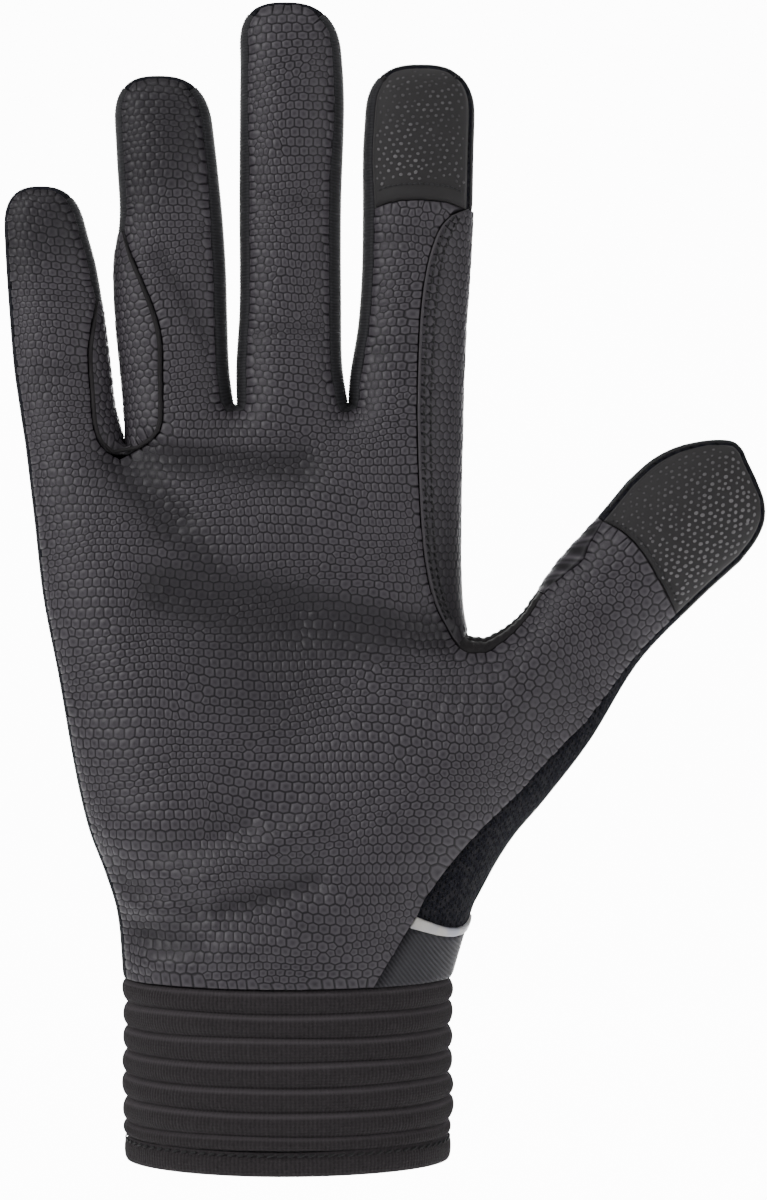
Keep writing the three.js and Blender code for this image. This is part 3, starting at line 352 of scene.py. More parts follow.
# %% Outline round the fingers
for number, finger in enumerate(fingers):
    left_name, right_name = side_panels[finger.name]
    left_low = "ring_little_patch" if finger.name == "ring" else left_name
    right_low = {"little": "ring_little_patch", "index": "index_side_patch"}.get(finger.name)
    right_back = "index_side_patch" if finger.name == "index" else right_name
    front_names[-1], back_names[-1] = left_low, left_name
    left, right = finger_side(finger, -1), finger_side(finger, 1)[::-1]
    low = np.arange(1, len(left) + 1) < break_rows
    fronts = [left_low if is_low else left_name for is_low in low]
    backs = [left_name] * len(left)
    fronts[-1] = backs[-1] = "back_panel"
    add(left, finger_shows(finger, -1), fronts, backs)
    angle = np.pi * mix(0.25, 0.75, np.arange(1, cap_columns) / cap_columns)
    side_now = finger_shows(finger, -1)[-1]
    ends = np.minimum(np.arange(1, cap_columns), np.arange(cap_columns - 1, 0, -1)) / fine
    add(finger.cap(angle), mix(side_now, edge_show, np.minimum(ends, 1)),
        "back_panel", "back_panel")
    rows = np.arange(len(right), 0, -1)
    fronts = [(right_low or right_name) if row <= break_rows else right_name for row in rows]
    backs = [right_back if row <= break_rows else right_name for row in rows]
    add(right, finger_shows(finger, 1)[::-1], fronts, backs)
    if finger is not fingers[-1]:
        following = side_panels[fingers[number + 1].name][0]
        web = [finger.left_x + finger.width, finger.right_web]
        add(web, side_show(finger, 1, np.zeros(1)), following, following)
add(inner_root, side_show(fingers[-1], 1, np.zeros(1)), "index_side_patch", "index_side_patch")

# %% Outline down to the fork, round the thumb and down to the cuff
thumb_break, thumb_columns, patch_start = 7 * fine, fork_rows * fine, 3
thumb_rows = thumb_break + shoulder_rows + cap_rows
rows = np.arange(last_row - 1, fork_row, -1)
share = (heights[rows] - fork[1]) / (inner_root[1] - fork[1])
side_x = inner_root[0] + fork_out * along(inner_side, share)
bound = rows <= fork_row + fine
add(np.stack([side_x, heights[rows]], axis=-1), side_patch_show * along(side_palm, share),
    np.where(bound, "crotch_binding", "index_side_patch").tolist(),
    np.where(bound, "back_panel", "index_side_patch").tolist())
add(fork, binding_show, "crotch_binding", "back_panel")
step = np.arange(1, thumb_break + 1) / thumb_break
bend = cap_side * np.arange(1, cap_rows + 1) / cap_rows
upper = np.concatenate([upper_edge(pad_upper * step),
                        upper_edge(mix(pad_upper, 1, high_shares)), cap_edge(bend)])
lower = np.concatenate([lower_edge(pad_lower * (1 - (1 - step) ** lower_crowding)),
                        lower_edge(mix(pad_lower, 1, high_shares)), cap_edge(1 - bend)])
patched = thumb_show * along(thumb_edge, step)
row = np.arange(1, thumb_rows + 1)
low_name = np.where(row < patch_start * fine, "crotch_binding", "back_panel")
inside_patch = (row >= patch_start * fine) & (row < thumb_break)
add(upper, np.concatenate([patched, mix(patched[-1], edge_show, run_over)]),
    np.where(inside_patch, "thumb_side_patch", low_name).tolist(), "back_panel")
add(cap_edge(mix(cap_side, 1 - cap_side, np.arange(1, thumb_columns) / thumb_columns)),
    edge_show, "back_panel", "back_panel")
heeled = heel_show * along(heel_edge, 1 - step)
add(lower[::-1], np.concatenate([heeled, mix(heeled[-1], edge_show, run_over)])[::-1],
    "back_panel", "back_panel")
rows = np.arange(heel_row, -1, -1)
share = (heights[rows] - cuff_height) / heel_rise
band = rows > 2 * fine
names = np.where(band, "reflective_piping", "wrist_panel").tolist()
add(np.stack([mix(wrist_width / 2, heel[0], share), heights[rows]], axis=-1),
    heel_show * mix(1, heel_share, share), names, names)
outline, show = np.concatenate(points), np.concatenate(shows)
last = len(outline) - 1
print("points of the outline:", len(outline))

# %% [markdown]
# ## Which way is inwards
#
# A side panel is a strip along the outline. At each point it needs a direction into the glove. The
# chord between two neighbours some way off, turned by a right angle, gives a direction that swings
# smoothly round the webs between the fingers.

# %% Inward directions
ahead = outline[np.minimum(np.arange(last + 1) + fine, last)]
behind = outline[np.maximum(np.arange(last + 1) - fine, 0)]
chord = (ahead - behind) / np.linalg.norm(ahead - behind, axis=1)[:, None]
inward = np.stack([chord[:, 1], -chord[:, 0]], axis=-1)
level = np.clip(np.arange(last + 1) / fine, 0, 1)[:, None]
inward = mix(np.array([1.0, 0.0]), inward, level)
wrist_part = np.arange(heel_row + 1)
climb = heel_tilt * (heights[wrist_part] - cuff_height) / heel_rise
inward[last - wrist_part] = np.stack([-np.ones_like(climb), climb], axis=-1)
before_heel = last - heel_row - np.arange(1, fine)
toward = (np.arange(1, fine) / fine)[:, None]
inward[before_heel] = mix(inward[last - heel_row], inward[before_heel], toward)
inward /= np.linalg.norm(inward, axis=1)[:, None]
travel = np.append(0, np.cumsum(np.linalg.norm(np.diff(outline, axis=0), axis=1)))
sag = np.zeros(last + 1)
sag[last - wrist_part] = band_sag * (heights[wrist_part] - cuff_height) / heel_rise
sag[before_heel] = band_sag * (1 - np.arange(1, fine) / fine)
print("outline is", round(travel[-1]), "mm long")

# %% [markdown]
# ## Distance inside the outline
#
# The depth of the glove at a point depends on how far the point lies inside the outline. The
# distance to every stretch of a long line is slow to work out for many points, so points are
# sorted into square tiles, and each tile only looks at the stretches that can be nearest.

# %% Nearest point of a line for many points
def nearest_on_line(xz, line, tile=12.0):
    """Distance to a line of points, and the nearest place on it, worked out tile by tile."""
    start, step = line[:-1], np.diff(line, axis=0)
    size = np.maximum((step ** 2).sum(axis=1), 1e-12)
    distance, place = np.empty(len(xz)), np.empty_like(xz)
    keys = np.floor(xz / tile).astype(int)
    _, group = np.unique(keys, axis=0, return_inverse=True)
    order = np.argsort(group.ravel(), kind="stable")
    cuts = np.flatnonzero(np.diff(group.ravel()[order])) + 1
    for members in np.split(order, cuts):
        middle = xz[members].mean(axis=0)
        radius = np.linalg.norm(xz[members] - middle, axis=1).max()
        t = np.clip(((middle - start) * step).sum(axis=1) / size, 0, 1)
        reach = np.linalg.norm(start + t[:, None] * step - middle, axis=1)
        close = np.flatnonzero(reach <= reach.min() + 2 * radius + 1e-6)
        s, d = start[close], step[close]
        for part in np.array_split(members, 1 + len(members) * len(close) // 2_000_000):
            off = xz[part][:, None] - s
            t = np.clip((off * d).sum(axis=2) / size[close], 0, 1)
            gap = off - t[:, :, None] * d
            square = (gap ** 2).sum(axis=2)
            best = square.argmin(axis=1)
            pick = np.arange(len(part))
            distance[part] = np.sqrt(square[pick, best])
            place[part] = s[best] + t[pick, best][:, None] * d[best]
    return distance, place


def nearest_on_ring(xz, ring):
    """The same for a closed ring."""
    return nearest_on_line(xz, np.concatenate([ring, ring[:1]]))


def is_inside(xz, ring):
    """Even-odd rule: counts how often a level line to the right crosses the closed ring."""
    start, end = ring, np.roll(ring, -1, axis=0)
    result = np.zeros(len(xz), bool)
    for part in np.array_split(np.arange(len(xz)), 1 + len(xz) * len(ring) // 4_000_000):
        x, z = xz[part, 0][:, None], xz[part, 1][:, None]
        spans = (start[:, 1] > z) != (end[:, 1] > z)
        rise = np.where(end[:, 1] == start[:, 1], 1e-9, end[:, 1] - start[:, 1])
        cross = start[:, 0] + (z - start[:, 1]) * (end[:, 0] - start[:, 0]) / rise
        result[part] = (spans & (x < cross)).sum(axis=1) % 2 == 1
    return result


fence = np.concatenate([[[outline[0, 0], -palm_length]], outline,
                        [[outline[-1, 0], -palm_length]]])

# %% [markdown]
# A distance field has creases along the middle of each branch. They would show as ridges where the
# thumb and the fingers grow out of the palm. So the distance is blurred once on a coarse grid, and
# the blurred field is used away from the edges only.

# %% Blurred distance for the middle of the glove
cell, blur, field_margin, exact_until, blend_over = 1.0, 3.0, 12, 3, 5
low_corner, high_corner = outline.min(axis=0) - field_margin, outline.max(axis=0) + field_margin
grid_x = np.arange(low_corner[0], high_corner[0], cell)
grid_z = np.arange(low_corner[1], high_corner[1], cell)
mesh_x, mesh_z = np.meshgrid(grid_x, grid_z)
raster = np.stack([mesh_x.ravel(), mesh_z.ravel()], axis=-1)
signed = nearest_on_line(raster, fence)[0]
signed[~is_inside(raster, fence)] *= -1
signed = signed.reshape(mesh_x.shape)
taps = np.arange(-8, 9)
weights = np.exp(-(taps * cell) ** 2 / (2 * blur ** 2))
weights /= weights.sum()
for axis in (0, 1):
    signed = sum(w * np.roll(signed, t, axis=axis) for w, t in zip(weights, taps))
print("distance field:", signed.shape, "deepest", round(float(signed.max()), 1))


def deep(x, z):
    """Distance inside the outline: exact near an edge, blurred from some millimetres inwards."""
    exact = nearest_on_line(np.stack([x, z], axis=-1), fence)[0]
    i = np.clip((x - grid_x[0]) / cell, 0, len(grid_x) - 1.001)
    j = np.clip((z - grid_z[0]) / cell, 0, len(grid_z) - 1.001)
    a, b = i.astype(int), j.astype(int)
    u, v = i - a, j - b
    soft = mix(mix(signed[b, a], signed[b, a + 1], u),
               mix(signed[b + 1, a], signed[b + 1, a + 1], u), v)
    return mix(exact, np.maximum(soft, 0), ease((exact - exact_until) / blend_over))


# %% [markdown]
# ## From the flat outline to the filled glove
#
# At each point the half depth, the roundness of the edge and the curl towards the palm are blended
# from the wrist, the palm, the knuckles, the nearest finger and the thumb. The surface is then a
# quarter ellipse that rises from the edge and runs into a flatter middle.

# %% Section at a point
def section(x, z):
    """Roundness, front and back half depth, and curl, blended between the parts of the hand."""
    up = (z - cuff_height) / palm_length
    found = [along(palm_sections, up, 1) * wrist_width / 2,
             along(palm_sections, up, 2) * palm_depth / 2,
             along(palm_sections, up, 3) * palm_depth / 2, np.zeros_like(x)]

    def blend(share, *values):
        found[:] = [mix(old, new, share) for old, new in zip(found, values)]

    half = knuckle_depth / 2
    blend(ease((up - knuckle_start) / (1 - knuckle_start)), found[0], half, half, 0)
    half = wrist_depth / 2
    blend(ease(1 - up / wrist_end), wrist_width / 2, half, half, 0)
    off = np.stack([np.abs(x - f.centre(z)) for f in fingers])
    nearest = off.argmin(axis=0)
    for number, f in enumerate(fingers):
        start = min(f.left_web, f.right_web)
        inside = np.where(nearest == number, ease((z - start) / web_rise), 0)
        share = np.maximum((z - f.root) / f.length, 0)
        blend(inside, f.half(z), f.depth / 2, f.depth / 2, -finger_curl * share ** 2)
    from_fork = np.stack([x, z], axis=-1) - fork
    length, across = from_fork @ thumb_axis, from_fork @ thumb_side
    base = heel - fork
    beyond = (from_fork[:, 1] * base[0] - from_fork[:, 0] * base[1]) / np.linalg.norm(base)
    inside = np.where(across > 0, ease(beyond / (thumb_width * thumb_blend)), 0)
    share = np.maximum(length / thumb_length, 0)
    half = thumb_depth / 2
    blend(inside, thumb_width / 2, half, half, -thumb_curl * share ** 2)
    return found


# %% Folds and mounds, and the surface itself
def valley(x, z, x0, z0, x1, z1, width):
    """Bell across a straight stretch, with round ends: 1 on the line, fading over the width."""
    dx, dz = x1 - x0, z1 - z0
    t = np.clip(((x - x0) * dx + (z - z0) * dz) / (dx * dx + dz * dz), 0, 1)
    off = np.hypot(x - x0 - t * dx, z - z0 - t * dz) / width
    return np.exp(-off * off)


def relief(x, z):
    """Height of the palm side's folds and mounds, out of the palm when positive. Folds that cross
    don't add up: the fourth root of the sum of fourth powers is close to the deepest one."""
    sunk, raised = np.zeros_like(x), np.zeros_like(x)
    for a0, u0, a1, u1, depth, width in main_folds:
        ends = (palm_shift + a0 * knuckle_width, cuff_height + u0 * palm_length,
                palm_shift + a1 * knuckle_width, cuff_height + u1 * palm_length)
        sunk += (fold_gain * depth * fold_depth * valley(x, z, *ends, width * fold_depth)) ** 4
    for x0, z0, x1, z1, depth, width in wrinkles:
        fourth = (wrinkle_gain * depth * valley(x, z, x0, z0, x1, z1, width)) ** 4
        if depth > 0:
            sunk += fourth
        else:
            raised += fourth
    height = raised ** 0.25 - sunk ** 0.25
    for across, up, size, reach in mounds:
        off = np.hypot(x - palm_shift - across * knuckle_width,
                       z - cuff_height - up * palm_length) / (reach * palm_length)
        height += size * mound_height * np.exp(-off * off)
    return height


def surface(x, z, side):
    """Point of the front (-1) or back (1): curl plus a quarter ellipse, plus the folds."""
    x, z = np.asarray(x, float), np.asarray(z, float)
    round_in, front, back, curl = section(x, z)
    within = deep(x, z)
    short = 1 - np.minimum(within / round_in, 1)
    bulge = (front if side < 0 else back) * np.sqrt(1 - short * short)
    if side < 0:
        fade = ease(within / relief_fade) * ease((z - cuff_height) / relief_fade)
        bulge = bulge + relief(x, z) * fade
    return np.stack([x, curl + side * bulge, z], axis=-1)


def front_place(uv):
    """The palm side as a function of x and z."""
    return surface(uv[:, 0], uv[:, 1], -1)


probe = front_place(np.array([[-9.0, 100.0], [0.0, 200.0]]))
print("front of the palm and of the middle finger:", np.round(probe, 1).tolist())

# %% [markdown]
# ## The seams
#
# The front seam lies inside the outline by what each side panel shows, and the back seam by the
# small turn onto the back. Between four edges a grid is blended from all of them, and the same
# blocks as in the solids are cut out of it: palm, four fingers and thumb.

# %% Blended grids between four edges
def coons(bottom, top, left, right):
    """Blend of the two pairs of opposite edges, less the blend of the four corners."""
    u = np.linspace(0, 1, len(bottom))[None, :, None]
    v = np.linspace(0, 1, len(left))[:, None, None]
    grid = mix(left[:, None], right[:, None], u) + mix(bottom[None], top[None], v)
    grid -= mix(mix(bottom[0], bottom[-1], u), mix(top[0], top[-1], u), v)
    grid[0], grid[-1], grid[:, 0], grid[:, -1] = bottom, top, left, right
    return grid


def straight(a, b, count):
    """Points at equal steps from a to b."""
    return mix(a, b, np.linspace(0, 1, count + 1)[:, None])


side_rows = break_rows + shoulder_rows + cap_rows
per_finger = 2 * side_rows + cap_columns
fork_at = last_row + 4 * per_finger + last_row - fork_row
heel_at = fork_at + 2 * thumb_rows + thumb_columns


def blocks(seam):
    """The palm's, the fingers' and the thumb's grids inside one seam line."""
    found, knuckles = {}, [seam[last_row]]
    for number, f in enumerate(fingers):
        at = last_row + number * per_finger
        left = seam[at:at + side_rows + 1]
        top = seam[at + side_rows:at + side_rows + cap_columns + 1]
        right = seam[at + side_rows + cap_columns:at + per_finger + 1][::-1]
        base = straight(left[0], right[0], cap_columns)
        knuckles.extend(base[1:])
        found[f.name] = coons(base, top, left, right)
    left = seam[fork_at:fork_at + thumb_rows + 1]
    top = seam[fork_at + thumb_rows:fork_at + thumb_rows + thumb_columns + 1]
    right = seam[fork_at + thumb_rows + thumb_columns:heel_at + 1][::-1]
    base = straight(left[0], right[0], thumb_columns)
    found["thumb"] = coons(base, top, left, right)
    down = seam[last_row + 4 * per_finger:fork_at + 1][::-1]
    right = np.concatenate([seam[heel_at:][::-1], base[::-1][1:], down[1:]])
    bottom = straight(seam[0], seam[-1], len(knuckles) - 1)
    found["palm"] = coons(bottom, np.array(knuckles), seam[:last_row + 1], right)
    return found


front_seam = outline + inward * show[:, None]
back_seam = outline + inward * back_turn
front_blocks, back_blocks = blocks(front_seam), blocks(back_seam)
print("blocks:", {name: grid.shape[:2] for name, grid in back_blocks.items()})

# %% [markdown]
# ## Strips along the edge
#
# A strip runs along the outline and turns over the edge. Its two parameters are the way along the
# outline and the turn: -1 at the front seam, 0 on the edge, 1 at the back seam. The way inwards
# grows with the square of the turn, so the points lie evenly round the edge.

# %% A point of a strip
def edge_point(way, over):
    """Outline point plus the inward direction times show x turn^2, lifted to front or back."""
    x, z = (np.interp(way, travel, outline[:, k]) for k in (0, 1))
    in_x, in_z = (np.interp(way, travel, inward[:, k]) for k in (0, 1))
    reach = np.where(over < 0, np.interp(way, travel, show), back_turn) * over ** 2
    x, z = x + in_x * reach, z + in_z * reach
    z = z - np.where(over < 0, np.interp(way, travel, sag) * np.sin(np.pi * np.abs(over)), 0)
    result = np.empty((len(x), 3))
    for side, chosen in ((-1, over < 0), (1, over >= 0)):
        if chosen.any():
            result[chosen] = surface(x[chosen], z[chosen], side)
    return result


def runs(names, wanted):
    """First and last point of each unbroken run of a panel's name along the outline."""
    has = np.array([name == wanted for name in names])
    change = np.flatnonzero(np.diff(np.concatenate([[False], has[:-1], [False]]).astype(int)))
    return change.reshape(-1, 2).tolist()


print("binding runs:", runs(front_names, "crotch_binding"))

# %% [markdown]
# ## Walls
#
# Every panel is a closed wall: outer faces, the same border one wall further in, and a rim. The
# outer points are lifted along their normals by a height, which is where scales and ribs come from.

# %% Welding and normals
def weld(points_list, faces_list):
    """Joins grids: points nearer than a thousandth of a millimetre become one."""
    joined = np.concatenate(points_list)
    offsets = np.cumsum([0] + [len(p) for p in points_list[:-1]])
    quads = np.concatenate([f + o for f, o in zip(faces_list, offsets)])
    _, first, inverse = np.unique(np.round(joined * 1e3), axis=0, return_index=True,
                                  return_inverse=True)
    return joined[first], inverse.ravel()[quads]


def grid_faces(rows, columns):
    """Four-sided faces of a grid, counter-clockwise with columns to the right and rows up."""
    corner = np.arange(rows - 1)[:, None] * columns + np.arange(columns - 1)
    return np.stack([corner, corner + 1, corner + columns + 1, corner + columns],
                    axis=-1).reshape(-1, 4)


def ring_faces(rows, sides, closed=False):
    """Four-sided faces of a stack of rings; closed joins the last ring to the first."""
    ring, step = np.arange(rows if closed else rows - 1)[:, None], np.arange(sides)
    following, up = (step + 1) % sides, (ring + 1) % rows
    return np.stack([ring * sides + step, ring * sides + following, up * sides + following,
                     up * sides + step], axis=-1).reshape(-1, 4)


def normals_of(flat, faces):
    """Sum of the faces' cross products at each point, made one long."""
    total = np.zeros_like(flat)
    for group in faces:
        a, b, c, d = (flat[group[:, k]] for k in (0, 1, 2, -1))
        cross = np.cross(c - a, d - b) if group.shape[1] == 4 else np.cross(b - a, c - a)
        for k in range(group.shape[1]):
            np.add.at(total, group[:, k], cross)
    return total / np.maximum(np.linalg.norm(total, axis=1), 1e-12)[:, None]


def border_of(faces):
    """Directed edges that only one face has."""
    edges = np.concatenate([np.stack([g[:, k], g[:, (k + 1) % g.shape[1]]], axis=-1)
                            for g in faces for k in range(g.shape[1])])
    size = edges.max() + 1
    forward = edges[:, 0] * size + edges[:, 1]
    backward = edges[:, 1] * size + edges[:, 0]
    return edges[~np.isin(forward, backward)]


# %% A mesh object from arrays
def mesh_object(name, points_mm, faces, material, values=None):
    """Puts points (mm) and faces into a new mesh in metres, with one float for each point."""
    mesh = bpy.data.meshes.new(name)
    listed = [face for group in faces for face in (group.tolist() if hasattr(group, "tolist")
                                                   else group)]
    mesh.from_pydata((points_mm / 1000).tolist(), [], listed)
    mesh.validate()
    for label, value in (values or {}).items():
        layer = mesh.attributes.new(label, "FLOAT", "POINT")
        layer.data.foreach_set("value", np.ascontiguousarray(value, np.float32))
    mesh.polygons.foreach_set("use_smooth", np.ones(len(mesh.polygons), bool))
    mesh.update()
    mesh.materials.append(material)
    piece = bpy.data.objects.new(name, mesh)
    bpy.context.scene.collection.objects.link(piece)
    return piece


def wall(name, flat, faces, thick, material, height=0.0, values=None, inner=None, roll=0.15,
         proud=0.0):
    """Closed wall: outer faces lifted by the height, inner faces one wall in, and the rim. Proud
    lifts the whole outside, and roll sinks its border again."""
    normal = normals_of(flat, faces)
    edges = border_of(faces)
    drawn = np.zeros_like(flat)
    if len(edges):
        run = flat[edges[:, 1]] - flat[edges[:, 0]]
        middle = normal[edges[:, 0]] + normal[edges[:, 1]]
        into = np.cross(middle, run)
        into /= np.maximum(np.linalg.norm(into, axis=1), 1e-9)[:, None]
        for k in (0, 1):
            np.add.at(drawn, edges[:, k], into)
        drawn /= np.maximum(np.linalg.norm(drawn, axis=1), 1e-9)[:, None]
        drawn *= visible_gap / 2
    lift = np.broadcast_to(height, len(flat)).astype(float) + proud
    on_border = np.zeros(len(flat), bool)
    on_border[edges.ravel()] = True
    lift = np.where(on_border, lift - roll, lift)
    outer = flat + drawn + normal * lift[:, None]
    inner = faces if inner is None else inner
    used = np.unique(np.concatenate([np.concatenate([np.ravel(f) for f in g])
                                     if isinstance(g, list) else np.ravel(g) for g in inner]))
    used = np.union1d(used, edges.ravel())
    place = np.full(len(flat), -1)
    place[used] = len(flat) + np.arange(len(used))
    below = flat[used] + drawn[used] - normal[used] * thick
    backs = [[place[f[::-1]].tolist() for f in g] if isinstance(g, list) else place[g[:, ::-1]]
             for g in inner]
    a, b = edges[:, 0], edges[:, 1]
    rim = np.stack([b, a, place[a], place[b]], axis=-1)
    values = {label: np.concatenate([v, v[used]]) for label, v in (values or {}).items()}
    return mesh_object(name, np.concatenate([outer, below]), [*faces, *backs, rim], material,
                       values)


visible_gap = 0.16
leather_wall, cloth_wall, pad_wall = 1.4, 1.2, 1.3

# %% [markdown]
# ## Finishing a piece
#
# Each piece takes the place of its solid and rides on the one body.

# %% Bookkeeping for every piece
def finish_piece(piece, slot, *nodes):
    """Rides on the body and hides the solids that it stands for; the slot is not used."""
    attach(piece, "root")
    if nodes:
        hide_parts(*nodes)
    triangles = sum(len(p.vertices) - 2 for p in piece.data.polygons)
    print(f"{piece.name}: {triangles} triangles")
    return piece


# %% [markdown]
# ## Shader maths
#
# Node trees for patterns get long. A small class wraps a socket, so that `1 - mask * 0.5` adds the
# Math nodes by itself. One method makes any other node from its type, settings and sockets.

# %% Sockets with arithmetic, and a material to hang them on
class Value:
    """An output socket; each operator adds one Math node to the tree."""

    def __init__(self, paint, socket):
        self.paint, self.socket = paint, socket

    def math(self, operation, *others):
        """Math node of that operation on this value and the others."""
        return self.paint.node("ShaderNodeMath", {"operation": operation}, self, *others)

    def __add__(self, other):
        return self.math("ADD", other)

    def __mul__(self, other):
        return self.math("MULTIPLY", other)

    def __sub__(self, other):
        return self.math("SUBTRACT", other)

    def __rsub__(self, other):
        return self.math("MULTIPLY", -1.0).math("ADD", other)

    __radd__, __rmul__ = __add__, __mul__

    def step(self, low, high):
        """Smooth step from 0 at low to 1 at high."""
        return self.paint.node("ShaderNodeMapRange", {"interpolation_type": "SMOOTHSTEP"},
                               self, low, high, 0.0, 1.0)


class Paint:
    """A Principled material; constants go straight onto the shader's own sockets."""

    def __init__(self, name, color, roughness, **constants):
        self.material = bpy.data.materials.new(name)
        self.material.use_nodes = True
        self.tree = self.material.node_tree
        self.shader = self.tree.nodes["Principled BSDF"]
        self.set("Base Color", (*color, 1.0))
        self.set("Roughness", roughness)
        for label, value in constants.items():
            self.set(label.replace("_", " "), value)

    def set(self, label, value):
        """Constant or link on one of the shader's sockets."""
        self.feed(self.shader.inputs[label], value)

    def feed(self, socket, value):
        """Links a Value, or writes a constant."""
        if isinstance(value, Value):
            self.tree.links.new(value.socket, socket)
        else:
            socket.default_value = value

    def node(self, kind, settings, *inputs, output=0):
        """Any node: settings first, then its sockets in order; None leaves one as it is."""
        made = self.tree.nodes.new(kind)
        for label, value in settings.items():
            setattr(made, label, value)
        for socket, value in zip(made.inputs, inputs):
            if value is not None:
                self.feed(socket, value)
        return Value(self, made.outputs[output])

    def blend(self, factor, first, second):
        """Colour mix: the first at 0, the second at 1."""
        made = self.tree.nodes.new("ShaderNodeMix")
        made.data_type = "RGBA"
        for label, value in (("Factor_Float", factor), ("A_Color", first), ("B_Color", second)):
            socket = next(s for s in made.inputs if s.identifier == label)
            self.feed(socket, (*value, 1.0) if isinstance(value, tuple) else value)
        return Value(self, next(s for s in made.outputs if s.identifier == "Result_Color"))

    def attribute(self, label):
        """A float that the mesh carries at each point."""
        return self.node("ShaderNodeAttribute", {"attribute_name": label}, output=2)

    def coordinate(self):
        """Object coordinates, in metres."""
        return self.node("ShaderNodeTexCoord", {}, output=3)

    def axes(self):
        """The three object coordinates in millimetres."""
        split = self.tree.nodes.new("ShaderNodeSeparateXYZ")
        self.feed(split.inputs[0], self.coordinate())
        return [Value(self, out) * 1000.0 for out in split.outputs]

    def noise(self, size, detail=3.0, rough=0.5):
        """Noise whose blotches measure about so many millimetres."""
        return self.node("ShaderNodeTexNoise", {}, self.coordinate(), None, 1000.0 / size, detail,
                         rough)

    def bump(self, height, distance, strength=1.0):
        """Bump of a height field from 0 to 1 that is so many millimetres deep."""
        made = self.tree.nodes.new("ShaderNodeBump")
        made.inputs["Strength"].default_value = strength
        made.inputs["Distance"].default_value = distance / 1000
        self.feed(made.inputs["Height"], height)
        self.feed(self.shader.inputs["Normal"], Value(self, made.outputs[0]))

    def wave(self, value, pitch):
        """Sine from 0 to 1 with so many millimetres to a ridge."""
        return (value * (2 * np.pi / pitch)).math("SINE") * 0.5 + 0.5

# %% [markdown]
# ## Scale leather
#
# The leather is embossed with small scales in brick-like rows. A picture could fake them, but real
# scales catch the light from every side. So each scale is a small raised cushion. Sites are strewn
# in rows; the triangles between neighbouring sites give the corners of the grooves; and each site
# gets a ring and a top of its own. Mirror images of the sites across the seam make the outer scales
# end exactly on it.

# %% Corners of the grooves from sites
mirror_reach, site_margin = 3.6, 0.45


def triangles_of(sites):
    """Triangulation of the sites: rows of three site numbers, counter-clockwise."""
    found = delaunay_2d_cdt(sites.tolist(), [], [], 0, 1e-6)
    origin = np.array([names[0] for names in found[3]])
    tri = origin[np.array(found[2])]
    a, b, c = (sites[tri[:, k]] for k in range(3))
    area = np.cross(b - a, c - a)
    tri = tri[np.abs(area) > 1e-6]
    return np.where((area[np.abs(area) > 1e-6] < 0)[:, None], tri[:, ::-1], tri)


def with_mirrors(sites, ring):
    """Adds each site's mirror image across the nearest stretch of the ring."""
    distance, nearest = nearest_on_ring(sites, ring)
    mirrored = (2 * nearest - sites)[distance < mirror_reach]
    return np.concatenate([sites, mirrored[~is_inside(mirrored, ring)]])


def relax(sites, ring, share=0.45):
    """Moves each site a part of the way towards the mean of its groove corners."""
    every = with_mirrors(sites, ring)
    tri = triangles_of(every)
    middle = every[tri].mean(axis=1)
    total, count = np.zeros_like(every), np.zeros(len(every))
    for k in range(3):
        np.add.at(total, tri[:, k], middle)
        np.add.at(count, tri[:, k], 1)
    mean = total / np.maximum(count, 1)[:, None]
    moved = mix(sites, mean[:len(sites)], share)
    return np.where(is_inside(moved, ring)[:, None], moved, sites)


def bricks(every, tri, up, share):
    """Groove corners: the three sites' mean, drawn along the rows' upright direction towards the
    middle between the lowest and the highest site, which makes the rows' grooves run level."""
    corner = every[tri].mean(axis=1)
    direction = up(corner)
    along_up = (every[tri] * direction[:, None]).sum(axis=2)
    level = (along_up.min(axis=1) + along_up.max(axis=1)) / 2 - along_up.mean(axis=1)
    return corner + direction * (share(corner) * level)[:, None]


def sharp_corners(ring, turn=35.0):
    """Points of the ring where it turns by more than so many degrees."""
    before, after = ring - np.roll(ring, 1, axis=0), np.roll(ring, -1, axis=0) - ring
    angle = np.arctan2(np.cross(before, after), (before * after).sum(axis=1))
    return ring[np.abs(np.degrees(angle)) > turn]


# %% From sites to cells
def cells(sites, ring, up, level):
    """All groove corners, the outer ones snapped to the ring, and the loops round the sites: the
    corners' numbers one cell after the other, where each cell starts and ends in that list, and
    which place of the list follows each one."""
    every = with_mirrors(sites, ring)
    tri = triangles_of(every)
    tri = tri[(tri < len(sites)).any(axis=1)]
    corner = bricks(every, tri, up, level)
    outer = np.flatnonzero((tri >= len(sites)).any(axis=1) | ~is_inside(corner, ring))
    snapped = corner.copy()
    snapped[outer] = nearest_on_ring(corner[outer], ring)[1]
    for point in sharp_corners(ring):
        nearest = outer[np.linalg.norm(snapped[outer] - point, axis=1).argmin()]
        snapped[nearest] = point
    site, number = tri.ravel(), np.repeat(np.arange(len(tri)), 3)
    number, site = number[site < len(sites)], site[site < len(sites)]
    angle = np.arctan2(*(corner[number] - sites[site]).T[::-1])
    order = np.lexsort((angle, site))
    number, site = number[order], site[order]
    starts = np.flatnonzero(np.diff(site, prepend=-1))
    ends = np.append(starts[1:], len(site))
    following = np.arange(1, len(site) + 1)
    following[ends - 1] = starts
    return snapped, number, starts, ends, following


# %% A panel of scales
top_share, ring_share, ring_lift, top_shade = 0.75, 0.82, 0.94, 0.62
uneven_height, full_size, most_growth = (0.65, 1.25), 0.85, 1.1


def nothing(xz):
    """Zero everywhere."""
    return np.zeros(len(xz))


def straight_up(xz):
    """The second coordinate's direction everywhere."""
    return np.tile([0.0, 1.0], (len(xz), 1))


